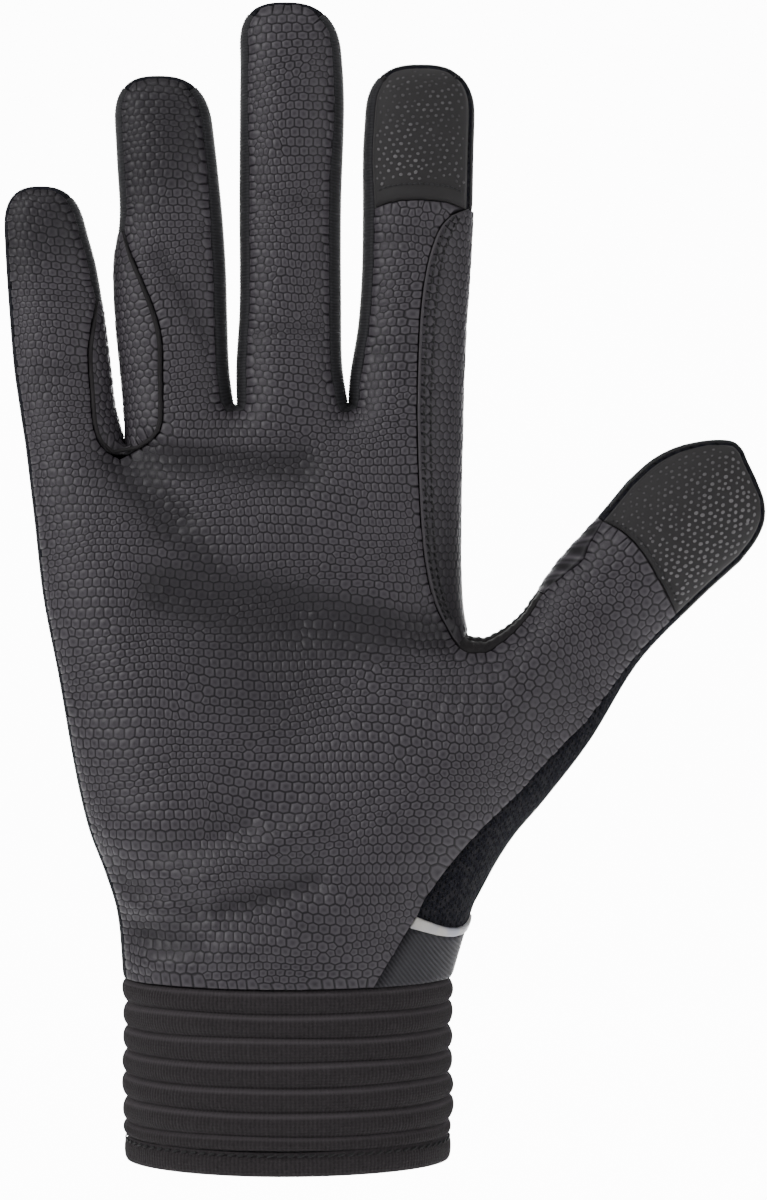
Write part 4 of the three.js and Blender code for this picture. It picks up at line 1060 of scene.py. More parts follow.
def scales(name, sites, ring, place, high, seed, roll, proud=0.0, up=straight_up, level=nothing,
           dark=nothing):
    """Groove corners, a ring at most of the way out and a middle for every scale."""
    pick = np.random.default_rng(seed)
    distance = nearest_on_ring(sites, ring)[0]
    sites = relax(sites[is_inside(sites, ring) & (distance > site_margin)], ring)
    snapped, number, starts, ends, following = cells(sites, ring, up, level)
    count = ends - starts
    rank = np.repeat(np.arange(len(starts)), count)
    middle = np.add.reduceat(snapped[number], starts, axis=0) / count[:, None]
    out = snapped[number] - middle[rank]
    size = np.linalg.norm(out, axis=1)
    mean_size = np.add.reduceat(size, starts) / count
    limit = np.minimum(top_share, ring_share * mean_size[rank] / np.maximum(size, 1e-6))
    flat_uv = np.concatenate([snapped, middle[rank] + out * limit[:, None], middle])
    here = len(snapped) + np.arange(len(number))
    after, top = len(snapped) + following, len(snapped) + len(number) + rank
    quads = np.stack([number, number[following], after, here], axis=-1)
    tris = np.stack([here, after, top], axis=-1)
    grown = high(middle) * pick.uniform(*uneven_height, len(middle))
    grown *= np.minimum(mean_size / full_size, most_growth)
    lift = np.concatenate([np.zeros(len(snapped)), ring_lift * grown[rank], grown])
    tint = pick.uniform(0, 1, len(middle))
    touching = np.zeros(len(snapped))
    np.maximum.at(touching, number, tint[rank])
    # The scale value is 0 in the grooves, 1 on the rings and top_shade on the tops: the leather
    # paints shade into the grooves and a highlight on the rings.
    shade = [np.zeros(len(snapped)), np.ones(len(number)), np.full(len(middle), top_shade)]
    # The dark value darkens the leather: on the palm the tips of two fingers, plus painted shade in
    # the folds; on the side patch its tone towards the fork.
    values = {"scale": np.concatenate(shade), "dark": dark(flat_uv),
              "tint": np.concatenate([touching, tint[rank], tint])}
    inner = [number[a:b].tolist() for a, b in zip(starts, ends)]
    print(name, "scales:", len(starts))
    return wall(name, place(flat_uv), [quads, tris], leather_wall, leather, height=lift,
                values=values, inner=[inner], roll=roll, proud=proud)


# %% [markdown]
# ## Leather, pads and cloths
#
# All the finishes are dark, so they differ by their gloss and their fine relief. The leather's
# grooves are painted near-black as shade, and its rims are lightened by a painted highlight. The
# mesh of the back is navy with a heathered thread. The cuff is brown-black knit. Only the band at
# the wrist is pale.

# %% Scale leather, plain leather and touch pads
def scale_leather():
    """Grooves painted near-black as shade, rims lightened by a painted highlight, each scale with
    its own tint, and a fine grain.
    """
    paint = Paint("scale_leather", (0.045, 0.04, 0.047), 0.5, Specular_IOR_Level=0.45)
    scale, tint, dark = (paint.attribute(label) for label in ("scale", "tint", "dark"))
    broad, grain = paint.noise(22, 2.0), paint.noise(0.35, 4.0, 0.6)
    body = paint.blend(tint * 0.6 + broad * 0.4, (0.024, 0.021, 0.027), (0.058, 0.051, 0.062))
    # Painted highlight: the rims of the scales are lightened.
    rim = scale.step(0.6, 1.0)
    lit = paint.blend(rim * 0.7, body, (0.100, 0.090, 0.104))
    # Darker tips, and painted shade in the palm's folds.
    lit = paint.blend(dark * 0.75, lit, (0.016, 0.014, 0.018))
    # Painted shade: the grooves go near-black.
    paint.set("Base Color", paint.blend(scale.step(0.05, 0.7), (0.006, 0.005, 0.007), lit))
    paint.set("Roughness", grain * 0.16 + broad * 0.1 + (0.42 - rim * 0.06))
    paint.bump(grain, 0.05, 0.7)
    return paint.material


def plain_leather():
    """Smooth grained leather of the rolled edges."""
    paint = Paint("edge_binding", (0.035, 0.031, 0.036), 0.6, Specular_IOR_Level=0.15)
    grain, broad = paint.noise(0.4, 4.0, 0.6), paint.noise(6, 2.0)
    paint.set("Base Color", paint.blend(broad, (0.014, 0.013, 0.014), (0.042, 0.039, 0.041)))
    paint.set("Roughness", grain * 0.2 + 0.5)
    paint.bump(grain, 0.08, 0.8)
    return paint.material


def touch_pad():
    """Matt cloth with a weave of half a millimetre."""
    paint = Paint("touch_pad", (0.026, 0.025, 0.028), 0.72, Sheen_Weight=0.15)
    x, _, z = paint.axes()
    weave = paint.wave(x + z, 0.42) * paint.wave(x - z, 0.42)
    broad = paint.noise(7, 3.0)
    paint.set("Base Color", paint.blend(broad * 0.7 + weave * 0.3, (0.016, 0.0145, 0.0155),
                                        (0.031, 0.0285, 0.030)))
    paint.bump(weave, 0.06, 0.6)
    return paint.material


# %% Ribbed gusset, mesh and twill
def ribbed_gusset():
    """Ribs carried by the mesh; a painted highlight makes their tops a little lighter, and painted
    shade darkens the hollows between them.
    """
    paint = Paint("ribbed_gusset", (0.013, 0.013, 0.016), 0.7, Sheen_Weight=0.1)
    rib, fibre = paint.attribute("rib"), paint.noise(0.3, 4.0, 0.7)
    # Painted highlight on the rib tops and painted shade between them.
    shade = rib * 0.7 + fibre * 0.3
    paint.set("Base Color", paint.blend(shade, (0.004, 0.004, 0.0055), (0.024, 0.023, 0.029)))
    paint.bump(fibre, 0.08, 0.6)
    return paint.material


def back_mesh():
    """Knitted mesh: small holes in offset rows, navy with grey and brown threads."""
    paint = Paint("back_mesh", (0.014, 0.015, 0.024), 0.95, Specular_IOR_Level=0.2)
    x, y, z = paint.axes()
    thread, heather = paint.noise(0.3, 4.0, 0.8), paint.noise(1.6, 4.0, 0.7)
    drift = heather * 0.8
    hole = paint.wave(x + y + drift, 1.5) * paint.wave(z + (x + y) * 0.5 + drift, 1.5)
    dark = paint.blend(heather.step(0.42, 0.6), (0.010, 0.011, 0.021), (0.034, 0.034, 0.043))
    fleck = paint.blend(thread.step(0.52, 0.66) * 0.8, dark, (0.080, 0.073, 0.075))
    paint.set("Base Color", paint.blend(hole.step(0.55, 0.9), fleck, (0.004, 0.004, 0.006)))
    paint.bump(1 - hole.step(0.2, 0.85) + thread * 0.8, 0.8, 1.0)
    return paint.material


def wrist_twill():
    """Fine diagonal ribs, smoother than the mesh."""
    paint = Paint("wrist_twill", (0.018, 0.017, 0.022), 0.62, Sheen_Weight=0.1)
    x, _, z = paint.axes()
    rib, fibre = paint.wave(x * 0.8 + z * 0.6, 0.75), paint.noise(0.3, 3.0)
    paint.set("Base Color", paint.blend(rib * 0.7 + fibre * 0.3, (0.010, 0.010, 0.014),
                                        (0.052, 0.048, 0.059)))
    paint.bump(rib, 0.16, 0.9)
    return paint.material


# %% Pale band, knit and threads
def reflective_band():
    """Pale grey with warm and bluish patches and a fine glint."""
    paint = Paint("reflective_band", (0.66, 0.65, 0.67), 0.35)
    broad, fine_grain = paint.noise(5, 3.0), paint.noise(0.25, 2.0)
    tinted = paint.blend(broad.step(0.35, 0.65), (0.56, 0.57, 0.66), (0.78, 0.75, 0.70))
    paint.set("Base Color", paint.blend(fine_grain * 0.3, tinted, (0.42, 0.42, 0.45)))
    paint.bump(fine_grain, 0.04, 0.5)
    return paint.material


def cuff_knit():
    """Knit: upright ridges from the mesh, loops across them and a soft fuzz, with a painted
    highlight along the upper slope of each rib.
    """
    paint = Paint("cuff_knit", (0.019, 0.016, 0.017), 0.88, Sheen_Weight=0.08)
    knit, fuzz = paint.attribute("knit"), paint.noise(0.5, 4.0, 0.8).step(0.3, 0.7)
    loops = paint.wave(paint.axes()[2], 0.6)
    shade = knit * 0.45 + fuzz * 0.45 + loops * 0.1
    base = paint.blend(shade, (0.006, 0.0045, 0.005), (0.046, 0.037, 0.042))
    # Painted highlight along the upper slope of each rib.
    paint.set("Base Color", paint.blend(paint.attribute("crest_highlight") * 0.75, base,
                                        (0.095, 0.083, 0.092)))
    paint.bump(fuzz * 0.75 + loops * 0.25, 0.16, 0.8)
    return paint.material


def thread(name, color):
    """Twisted sewing thread."""
    paint = Paint(name, color, 0.6, Sheen_Weight=0.1)
    twist = paint.noise(0.18, 2.0)
    dark = tuple(0.5 * c for c in color)
    paint.set("Base Color", paint.blend(twist, dark, tuple(1.5 * c for c in color)))
    return paint.material


leather, smooth_leather, pad_cloth = scale_leather(), plain_leather(), touch_pad()
gusset, mesh_cloth, twill = ribbed_gusset(), back_mesh(), wrist_twill()
pale, knit_cloth = reflective_band(), cuff_knit()
dark_thread = thread("dark_thread", (0.016, 0.015, 0.018))
leather_thread = thread("leather_thread", (0.060, 0.054, 0.062))
black_thread = thread("black_thread", (0.005, 0.005, 0.006))


def pad_dots():
    """Raised print: from nearly the cloth's own tone to a pale grey."""
    paint = Paint("pad_dots", (0.10, 0.095, 0.10), 0.4, Specular_IOR_Level=0.5)
    paint.set("Base Color", paint.blend(paint.attribute("tint"), (0.055, 0.052, 0.056),
                                        (0.19, 0.182, 0.19)))
    return paint.material


dot_print = pad_dots()
print("finishes:", len(bpy.data.materials))

# %% [markdown]
# ## The palm
#
# One piece of leather makes the palm and the palm sides of all five fingers. Its border is the
# front seam, cut across by the seams of the two tip pads. The rows of scales are spaced by the
# length measured over the curved surface, so that scales look narrower where a finger turns away.

# %% Border of the palm's leather
index_at = last_row + 3 * per_finger
palm_ring = np.concatenate([
    front_seam[:index_at + break_rows], front_blocks["index"][break_rows],
    front_seam[index_at + per_finger - break_rows + 1:fork_at + thumb_break],
    front_blocks["thumb"][thumb_break], front_seam[heel_at - thumb_break + 1:]])
print("border points of the palm:", len(palm_ring))


# %% Rows of sites over the palm and the fingers
row_overrun, scan_step = 2.0, 0.4


def strew_rows(ring, keep, to_world, low, high, across, pitch, spacing, middle_of):
    """Rows of sites, evenly spaced by the length over the surface, every other row shifted."""
    levels = [low]
    while levels[-1] < high:
        levels.append(levels[-1] + spacing(levels[-1]))
    levels = np.array(levels)
    u = np.arange(*across, scan_step)
    grid_u, grid_v = np.meshgrid(u, levels)
    world = to_world(np.stack([grid_u.ravel(), grid_v.ravel()], axis=-1))
    depth = front_place(world)[:, 1].reshape(grid_u.shape)
    beside = nearest_on_ring(world, ring)[0] < row_overrun
    valid = (is_inside(world, ring) | beside).reshape(grid_u.shape)
    steps = np.hypot(scan_step, np.diff(depth, axis=1))
    steps = np.where(valid[:, 1:] & valid[:, :-1], steps, scan_step)
    length = np.concatenate([np.zeros((len(levels), 1)), np.cumsum(steps, axis=1)], axis=1)
    found = []
    for row, level in enumerate(levels):
        edges = np.flatnonzero(np.diff(np.concatenate([[0], valid[row].astype(int), [0]])))
        for first, final in edges.reshape(-1, 2):
            middle = np.interp(middle_of(u[first:final].mean(), level), u, length[row])
            start, end = length[row, first], length[row, final - 1]
            gap = pitch(level)
            number = np.arange(np.ceil((start - middle) / gap), (end - middle) / gap) + row % 2 / 2
            at = np.interp(middle + number * gap, length[row], u)
            found.append(np.stack([at, np.full_like(at, level)], axis=-1))
    sites = to_world(np.concatenate(found))
    return sites[keep(sites)]


thumb_leather_start, web_overlap, palm_jitter = 4, 4, 0.22


def in_thumb_leather(xz):
    """True beyond the line from the fork to the heel, where the rows turn along the thumb."""
    from_fork, base = xz - fork, heel - fork
    beyond = (from_fork[:, 1] * base[0] - from_fork[:, 0] * base[1]) / np.linalg.norm(base)
    return (beyond > thumb_leather_start) & (from_fork @ thumb_side > 0)


def row_middle(u, level):
    """Middle line of the nearest finger above the webs, of the palm below them."""
    if level < root_height - web_overlap:
        return palm_shift
    return min((f.centre(level) for f in fingers), key=lambda x: abs(x - u))


def thumb_world(uv):
    """From across and along the thumb to the glove's plane."""
    return in_thumb(uv[:, 1], uv[:, 0])


def wander(sites, seed):
    """Slow waves, squeezes along both axes and a small jitter, as embossed rows on soft leather."""
    pick = np.random.default_rng(seed)
    x, z = sites.T
    bend = np.stack([0.5 * np.sin(z / 6.1 + x / 11), 0.7 * np.sin(x / 6.3 + z / 17)], axis=-1)
    squeeze = np.stack([0.9 * np.sin(x / 4.6 + z / 13 + 1), 0.8 * np.sin(z / 4.1 - x / 10)],
                       axis=-1)
    return sites + bend + squeeze + pick.normal(0, palm_jitter, sites.shape)


def up_the_hand(z, low, high):
    """A size that changes from the palm to the fingers."""
    return mix(low, high, ease((z - 100) / 50))


palm_sites = strew_rows(palm_ring, lambda xz: ~in_thumb_leather(xz), lambda uv: uv,
                        cuff_height - 2, 232, (-62, 62), lambda z: up_the_hand(z, 1.95, 1.72),
                        lambda z: up_the_hand(z, 1.7, 1.5), row_middle)
thumb_sites = strew_rows(palm_ring, in_thumb_leather, thumb_world, -22, 62, (-4, 62),
                         lambda level: 1.85, lambda level: 1.65,
                         lambda u, level: thumb_width / 2)
palm_sites = wander(np.concatenate([palm_sites, thumb_sites]), 3)
print("sites:", len(palm_sites))


# %% The palm's leather
def palm_height(uv):
    """Scales stand a little higher on the fingers than on the heel of the hand."""
    return 0.23 - 0.05 * ease((90 - uv[:, 1]) / 40)


def rows_up(uv):
    """Upright direction of the rows: the thumb's own on the thumb, straight up elsewhere."""
    share = in_thumb_leather(uv)[:, None]
    return np.where(share, thumb_axis, np.array([0.0, 1.0]))


def rows_level(uv):
    """Rows run most level on the fingers; scales are rounder low on the palm's thumb side."""
    rounder = ease((uv[:, 0] + 5) / 30) * ease((100 - uv[:, 1]) / 25)
    return 0.6 - 0.45 * np.maximum(rounder, in_thumb_leather(uv))


fold_shade_depth, fold_shade_most, tip_dark = 1.9, 0.88, 0.9


def palm_tip_tone_and_fold_shade(uv):
    """Tips of the little and the ring finger are darker than the rest; the folds get painted shade,
    darker the deeper they sink.
    """
    tips = ease((uv[:, 1] - 0.6 * uv[:, 0] - 203) / 16) * ease((-9 - uv[:, 0]) / 6)
    inside = nearest_on_line(uv, fence)[0]
    # Painted shade in the folds: the deeper the fold, the darker.
    sunk = np.clip(-relief(uv[:, 0], uv[:, 1]) / fold_shade_depth, 0, fold_shade_most)
    return np.maximum(tip_dark * tips, sunk * ease((inside - 1) / 5))


palm = scales("palm_leather", palm_sites, palm_ring, front_place, palm_height, 5, 0.15,
              up=rows_up, level=rows_level, dark=palm_tip_tone_and_fold_shade)
finish_piece(palm, "scale_leather", "palm_panel")

# %% [markdown]
# ## Strips and patches
#
# A patch of scale leather on the edge is strewn in its own flat map: the way along the outline, and
# the length over the edge measured on the surface. Gussets are grids with four rows to a rib. Where
# a gusset is hidden on the front by the fork patch, only its back half is made.

# %% Flat map of a strip
way_step, turn_steps, least_turn = 1.0, 25, 1e-4


class Strip:
    """Flat map of a panel's stretch of the edge: the way along the outline, and the length over
    the edge on the surface, negative on the front."""

    def __init__(self, node):
        found = runs(front_names, node)
        self.end = travel[found[-1][1]]
        self.ways = np.arange(travel[found[0][0]], self.end + way_step, way_step)
        turns = np.maximum(np.linspace(0, 1, turn_steps), least_turn)
        self.front, self.back = self.lengths(-turns), self.lengths(turns)

    def lengths(self, turns):
        """Length over the surface from the edge to a seam, for every way."""
        spots = edge_point(np.repeat(self.ways, len(turns)), np.tile(turns, len(self.ways)))
        steps = np.diff(spots.reshape(len(self.ways), len(turns), 3), axis=1)
        return np.linalg.norm(steps, axis=2).sum(axis=1)

    def place(self, uv):
        """The flat map's points on the glove."""
        front, back = (np.interp(uv[:, 0], self.ways, reach) for reach in (self.front, self.back))
        reach = np.where(uv[:, 1] < 0, front, back)
        return edge_point(uv[:, 0], np.clip(uv[:, 1] / reach, -1, 1))

    def line(self, inset):
        """Line along the front seam, so far inside it."""
        return np.stack([self.ways, -(self.front - inset)], axis=-1)


side_scales, first_row_at, row_share, strip_jitter = 12, 0.8, 0.9, 0.13


def strip_scales(name, strip, top, pitch, high, seed, roll, proud, dark=nothing):
    """Scales from a strip's front seam to the top line, in rows across the way."""
    ways = strip.ways
    ring = np.concatenate([strip.line(0), np.stack([ways, top], axis=-1)[::-1]])
    steps = np.arange(-side_scales, side_scales + 1)
    rows = np.arange(ways[0] + first_row_at, ways[-1], row_share * pitch)
    sites = np.concatenate([
        np.stack([np.full(len(steps), way), (steps + row % 2 / 2) * pitch], axis=-1)
        for row, way in enumerate(rows)])
    sites = sites + np.random.default_rng(seed).normal(0, strip_jitter, sites.shape)
    return scales(name, sites, ring, strip.place, high, seed, roll, proud, dark=dark)


# %% Patches of scale leather
fork_strip, side_strip = Strip("ring_little_patch"), Strip("index_side_patch")


def side_high(uv):
    """Scales of the side patch flatten towards the thumb's fork."""
    left = side_strip.end - uv[:, 0]
    return 0.04 + 0.14 * ease((left - 2) / 18)


def side_dark(uv):
    """It also darkens there."""
    return 0.22 + 0.78 * ease((32 - side_strip.end + uv[:, 0]) / 22)


patch = strip_scales("fork_patch", fork_strip, np.zeros_like(fork_strip.back), 1.75,
                     lambda uv: np.full(len(uv), 0.17), 11, 0.05, 0.12)
finish_piece(patch, "scale_leather", "ring_little_patch")
side = strip_scales("side_patch", side_strip, side_strip.back, 1.8, side_high, 13, 0.1, 0.1,
                    side_dark)
finish_piece(side, "scale_leather", "index_side_patch")


# %% Grid strips
def strip_grid(ways, over, columns):
    """Regular grid over a strip: each point's way and turn, the points and the faces."""
    way, turned = np.meshgrid(ways, np.linspace(*over, columns + 1), indexing="ij")
    way, turned = way.ravel(), turned.ravel()
    return way, turned, edge_point(way, turned), grid_faces(len(ways), columns + 1)[:, ::-1]


def grid_strip(name, first, final, over, step, columns, thick, material, height, labels=(),
               roll=0.15):
    """Wall on a regular grid; its height and its shade are functions of the way and the turn."""
    count = max(int((travel[final] - travel[first]) / step), 2)
    way, turned, flat, faces = strip_grid(np.linspace(travel[first], travel[final], count + 1),
                                          over, columns)
    lift, shade = height(way, turned)
    return wall(name, flat, [faces], thick, material, height=lift, roll=roll,
                values=dict.fromkeys(labels, shade))


gusset_pitch, gusset_ribs, gusset_columns = 0.62, 0.13, 14


def ribs(way, over):
    """Cross ribs: waves along the way."""
    wave = 0.5 + 0.5 * np.cos(2 * np.pi * way / gusset_pitch)
    return gusset_ribs * wave, wave


# %% Gussets between the fingers
for node in ("fourchette_little_ring", "fourchette_ring_middle", "fourchette_middle_index"):
    fronts = runs(front_names, node)
    stretches = [(first, final, (-1, 1)) for first, final in fronts]
    if len(fronts) > 1:
        stretches.insert(1, (fronts[0][1], fronts[-1][0], (0, 1)))
    for number, (first, final, over) in enumerate(stretches):
        part = grid_strip(f"{node}_{number}", first, final, over, gusset_pitch / 4,
                          gusset_columns, cloth_wall, gusset, ribs, ("rib",))
        finish_piece(part, "ribbed_gusset", node)

# %% [markdown]
# ## Back, wrist and tip pads
#
# The big plain panels come from the blended grids, which run over the edges as strips. Grids that
# meet share their border points, so they can be welded into one wall.

# %% Panels from blocks and strips
turn_columns = 8


def panel(name, grids, side, thick, material, slot, node, proud=0.0, roll=0.15):
    """Welds blocks of the front (-1) or back (1) and the node's strips over the edge."""
    points_list, faces_list = [], []
    for grid in grids:
        points_list.append(surface(grid[..., 0].ravel(), grid[..., 1].ravel(), side))
        faces = grid_faces(*grid.shape[:2])
        faces_list.append(faces if side < 0 else faces[:, ::-1])
    strips = [(first, final, (-1, 0)) for first, final in runs(front_names, node)]
    strips += [(first, final, (0, 1)) for first, final in runs(back_names, node)]
    for first, final, over in strips:
        _, _, spots, faces = strip_grid(travel[first:final + 1], over, turn_columns)
        points_list.append(spots)
        faces_list.append(faces)
    flat, quads = weld(points_list, faces_list)
    piece = wall(name, flat, [quads], thick, material, proud=proud, roll=roll)
    return finish_piece(piece, slot, node)


index_grid, thumb_grid = front_blocks["index"], front_blocks["thumb"]
palm_back = back_blocks["palm"]
back_parts = [grid for name, grid in back_blocks.items() if name != "palm"]
panel("index_pad", [index_grid[break_rows:]], -1, pad_wall, pad_cloth, "touch_pad",
      "index_tip_pad")
panel("thumb_pad", [thumb_grid[thumb_break:]], -1, pad_wall, pad_cloth, "touch_pad",
      "thumb_tip_pad")
panel("back", [*back_parts, palm_back[heel_row:]], 1, cloth_wall, mesh_cloth, "back_mesh",
      "back_panel")
panel("wrist", [palm_back[:2 * fine + 1]], 1, cloth_wall, twill, "wrist_twill", "wrist_panel")
panel("band", [palm_back[2 * fine:heel_row + 1]], 1, cloth_wall, pale, "reflective_band",
      "reflective_piping", proud=0.45, roll=0.35)

# %% [markdown]
# ## Binding and thumb patch
#
# In the fork of the thumb the edge is bound with two soft rolls. The narrow patch on the thumb is
# creased at a slant.

# %% Rolls and creases
roll_height, roll_end, pucker_share, pucker_pitch = 0.42, 2.5, 0.26, 1.7
crease_height, slow_pitch, quick_pitch = 0.2, 4.7, 2.3


def rolls(way, over):
    """Two half-round rolls between the seam and the edge, which run out at both ends."""
    across = np.clip(over + 1, 0, 1)
    left = np.minimum(way - way.min(), way.max() - way)
    high = roll_height * np.sqrt(np.abs(np.sin(2 * np.pi * across))) * ease(left / roll_end)
    pucker = pucker_share * np.sin(2 * np.pi * way / pucker_pitch + 3 * over)
    return high + pucker * np.clip(high, 0, 1), None


binding = grid_strip("fork_binding", *runs(front_names, "crotch_binding")[0], (-1, 0), 0.3, 20,
                     leather_wall, smooth_leather, rolls, roll=0.1)
finish_piece(binding, "edge_binding", "crotch_binding")


def slants(way, over):
    """Slanting creases of uneven pitch: two waves that drift against each other. The wave goes back
    as well, to paint shade into the creases and a highlight onto their crests.
    """
    slow = np.sin(2 * np.pi * (way / slow_pitch + 1.1 * over))
    quick = np.sin(2 * np.pi * (way / quick_pitch + 1.6 * over) + 1.4 * slow)
    wave = 0.5 + 0.3 * quick + 0.2 * slow
    return crease_height * wave, wave


# The crease wave also paints shade into the creases and a highlight on their crests, through the
# leather's groove and rim colours.
thumb_patch = grid_strip("thumb_patch", *runs(front_names, "thumb_side_patch")[0], (-1, 0), 0.2,
                         10, leather_wall, leather, slants, ("scale", "tint"))
finish_piece(thumb_patch, "scale_leather", "thumb_side_patch")

# %% [markdown]
# ## The cuff
#
# The cuff is a closed ring of knit: a profile carried round the wrist's oval. Six quilted ribs and
# a narrow fold bulge between stitched grooves, and fine upright ridges run all round.

# %% Profile of the cuff
hem_height, fold_height, rib_bulge, cuff_wall, hem_bulge = 4.8, 3.1, 1.1, 2.0, 0.7
cuff_ribs, ridges, ridge_steps = 6, 240, 4
rib_height = (cuff_height - hem_height - fold_height) / cuff_ribs
crest_at, crest_width, hem_groove, groove_depth, groove_width = 0.86, 0.09, 0.88, 0.4, 0.07


def bulging(low, high, bulge, steps):
    """Half-round bulge between two grooves: height, offset, crest."""
    share = (np.arange(steps) + 0.5) / steps
    z = mix(low, high, np.concatenate([[0.0], share]))
    arc = np.concatenate([[0.0], np.sin(np.pi * share) ** 0.55])
    # A painted highlight along the upper slope of each bulge.
    crest_highlight = np.concatenate([[0.0], np.exp(-((share - crest_at) / crest_width) ** 2)])
    return np.stack([z, -rib_bulge + bulge * arc, crest_highlight], axis=-1)


def ring_piece(name, profile, inner, ridge, waviness, seed):
    """Carries a profile (height, offset, crest) round the oval, with ridges and slow waves."""
    sides = ridges * ridge_steps
    pick = np.random.default_rng(seed)
    angle = 2 * np.pi * np.arange(sides) / sides
    rows = np.concatenate([profile, inner])
    outer = np.arange(len(rows)) < len(profile)
    z, offset = rows[:, 0][:, None], rows[:, 1][:, None]
    knit = 0.5 + 0.5 * np.cos(ridges * angle)[None]
    phase = pick.uniform(0, 6, 4)
    wave = sum(np.sin(k * angle + phase[k - 2] + z * 0.12 * k) for k in (2, 3, 5)) / 3
    groove = np.clip(1 + (offset + rib_bulge * 0.3) / rib_bulge, 0, 1)
    high = outer[:, None] * (ridge * knit * groove + waviness * wave)
    x = (wrist_width / 2 + offset + high) * np.cos(angle)
    y = (wrist_depth / 2 + offset + high) * np.sin(angle)
    tall = np.broadcast_to(z + outer[:, None] * 0.25 * wave * (z > 1) * (z < cuff_height - 1),
                           x.shape)
    spots = np.stack([x, y, tall], axis=-1).reshape(-1, 3)
    values = {"knit": (knit * np.ones_like(x)).ravel(),
              "crest_highlight": (rows[:, 2][:, None] * np.ones_like(x)).ravel()}
    return mesh_object(name, spots, [ring_faces(len(rows), sides, closed=True)], knit_cloth,
                       values)


# %% Cuff and hem
cuff_bottom, cuff_top = hem_height + 0.15, cuff_height - 0.1
inside_offset = -rib_bulge - cuff_wall
profile = [bulging(cuff_bottom, hem_height + fold_height, rib_bulge * 0.75, 7)]
for rib in range(cuff_ribs):
    low = hem_height + fold_height + rib * rib_height
    high = low + rib_height if rib < cuff_ribs - 1 else cuff_top
    profile.append(bulging(low, high, rib_bulge, 9))
profile = np.concatenate(profile)
inner = np.array([[cuff_top, -rib_bulge, 0], [cuff_top, inside_offset, 0],
                  [(cuff_top + cuff_bottom) / 2, inside_offset, 0],
                  [cuff_bottom, inside_offset, 0]])
cuff = ring_piece("knit_cuff", profile, inner, 0.14, 0.28, 21)
finish_piece(cuff, "cuff_knit", "cuff")
share = np.linspace(0, 1, 9)
hem_out = -rib_bulge + hem_bulge * (0.35 + 0.65 * np.sin(np.pi * share) ** 0.5)
hem_out -= groove_depth * np.exp(-((share - hem_groove) / groove_width) ** 2)
# The third column is a painted highlight near the hem's top.
hem_profile = np.stack([share * hem_height, hem_out, 0.5 * np.exp(-((share - 0.95) / 0.1) ** 2)],
                       axis=-1)
hem_inner = np.array([[hem_height, inside_offset, 0], [0, inside_offset, 0]])
hem = ring_piece("knit_hem", hem_profile, hem_inner, 0.12, 0.15, 22)
finish_piece(hem, "cuff_knit", "cuff_hem")

# %% [markdown]
# ## Stitches and dots
#
# Stitches are small capsules laid along a line on a surface; the dots of the tip pads are low
# domes. Each kind is one joined mesh: a template is placed many times with arrays. A kind of stitch
# is its pitch, length, radius, height over the surface, thread and slant.

# %% Copies of a template
def capsule(sides=6, rings=5):
    """Unit capsule along x, half round, with its ends closed by points."""
    t = np.linspace(-1, 1, rings + 2)[1:-1]
    radius = np.sqrt(1 - np.abs(t) ** 3)
    angle = 2 * np.pi * np.arange(sides) / sides
    x = np.repeat(t * 0.5, sides)
    y, z = (radius[:, None] * np.cos(angle)).ravel(), (radius[:, None] * np.sin(angle)).ravel()
    body = np.stack([x, y, z], axis=-1)
    shape = np.concatenate([body, [[-0.5, 0, 0], [0.5, 0, 0]]])
    quads = ring_faces(rings, sides)[:, [0, 3, 2, 1]]
    step = np.arange(sides)
    a = np.stack([np.full(sides, len(body)), step, (step + 1) % sides], axis=-1)
    top = (rings - 1) * sides
    b = np.stack([np.full(sides, len(body) + 1), top + (step + 1) % sides, top + step], axis=-1)
    return shape, quads, np.concatenate([a, b])


def dome(sides=7):
    """Low dome: two rings and a top; its z is out of the surface."""
    angle = 2 * np.pi * np.arange(sides) / sides
    circle = np.stack([np.cos(angle), np.sin(angle)], axis=-1)
    base = np.concatenate([circle, np.full((sides, 1), -0.4)], axis=1)
    upper = np.concatenate([0.72 * circle, np.full((sides, 1), 0.75)], axis=1)
    shape = np.concatenate([base, upper, [[0, 0, 1.0]]])
    step = np.arange(sides)
    quads = ring_faces(2, sides)
    tris = np.stack([sides + step, sides + (step + 1) % sides, np.full(sides, 2 * sides)],
                    axis=-1)
    floor = np.stack([np.zeros(sides - 2, int), step[2:], step[1:-1]], axis=-1)
    return shape, quads, np.concatenate([tris, floor])


def scatter(name, template, spots, along_dir, out_dir, sizes, material, values=None):
    """Places the template at every spot: x along, z outwards, y across."""
    shape, quads, tris = template
    along_dir = along_dir - (along_dir * out_dir).sum(axis=1)[:, None] * out_dir
    along_dir /= np.linalg.norm(along_dir, axis=1)[:, None]
    across = np.cross(out_dir, along_dir)
    local = shape[None] * np.asarray(sizes)
    world = (spots[:, None] + local[..., 0, None] * along_dir[:, None]
             + local[..., 1, None] * across[:, None] + local[..., 2, None] * out_dir[:, None])
    shift = (np.arange(len(spots)) * len(shape))[:, None, None]
    values = {label: np.repeat(value, len(shape)) for label, value in (values or {}).items()}
    faces = [(quads + shift).reshape(-1, 4), (tris + shift).reshape(-1, 3)]
    return mesh_object(name, world.reshape(-1, 3), faces, material, values)


def frames_on(place, uv, small=0.15):
    """Spots and outward directions of a surface at flat points, by small differences."""
    du = place(uv + [small, 0]) - place(uv - [small, 0])
    dv = place(uv + [0, small]) - place(uv - [0, small])
    normal = np.cross(du, dv)
    return place(uv), normal / np.linalg.norm(normal, axis=1)[:, None]


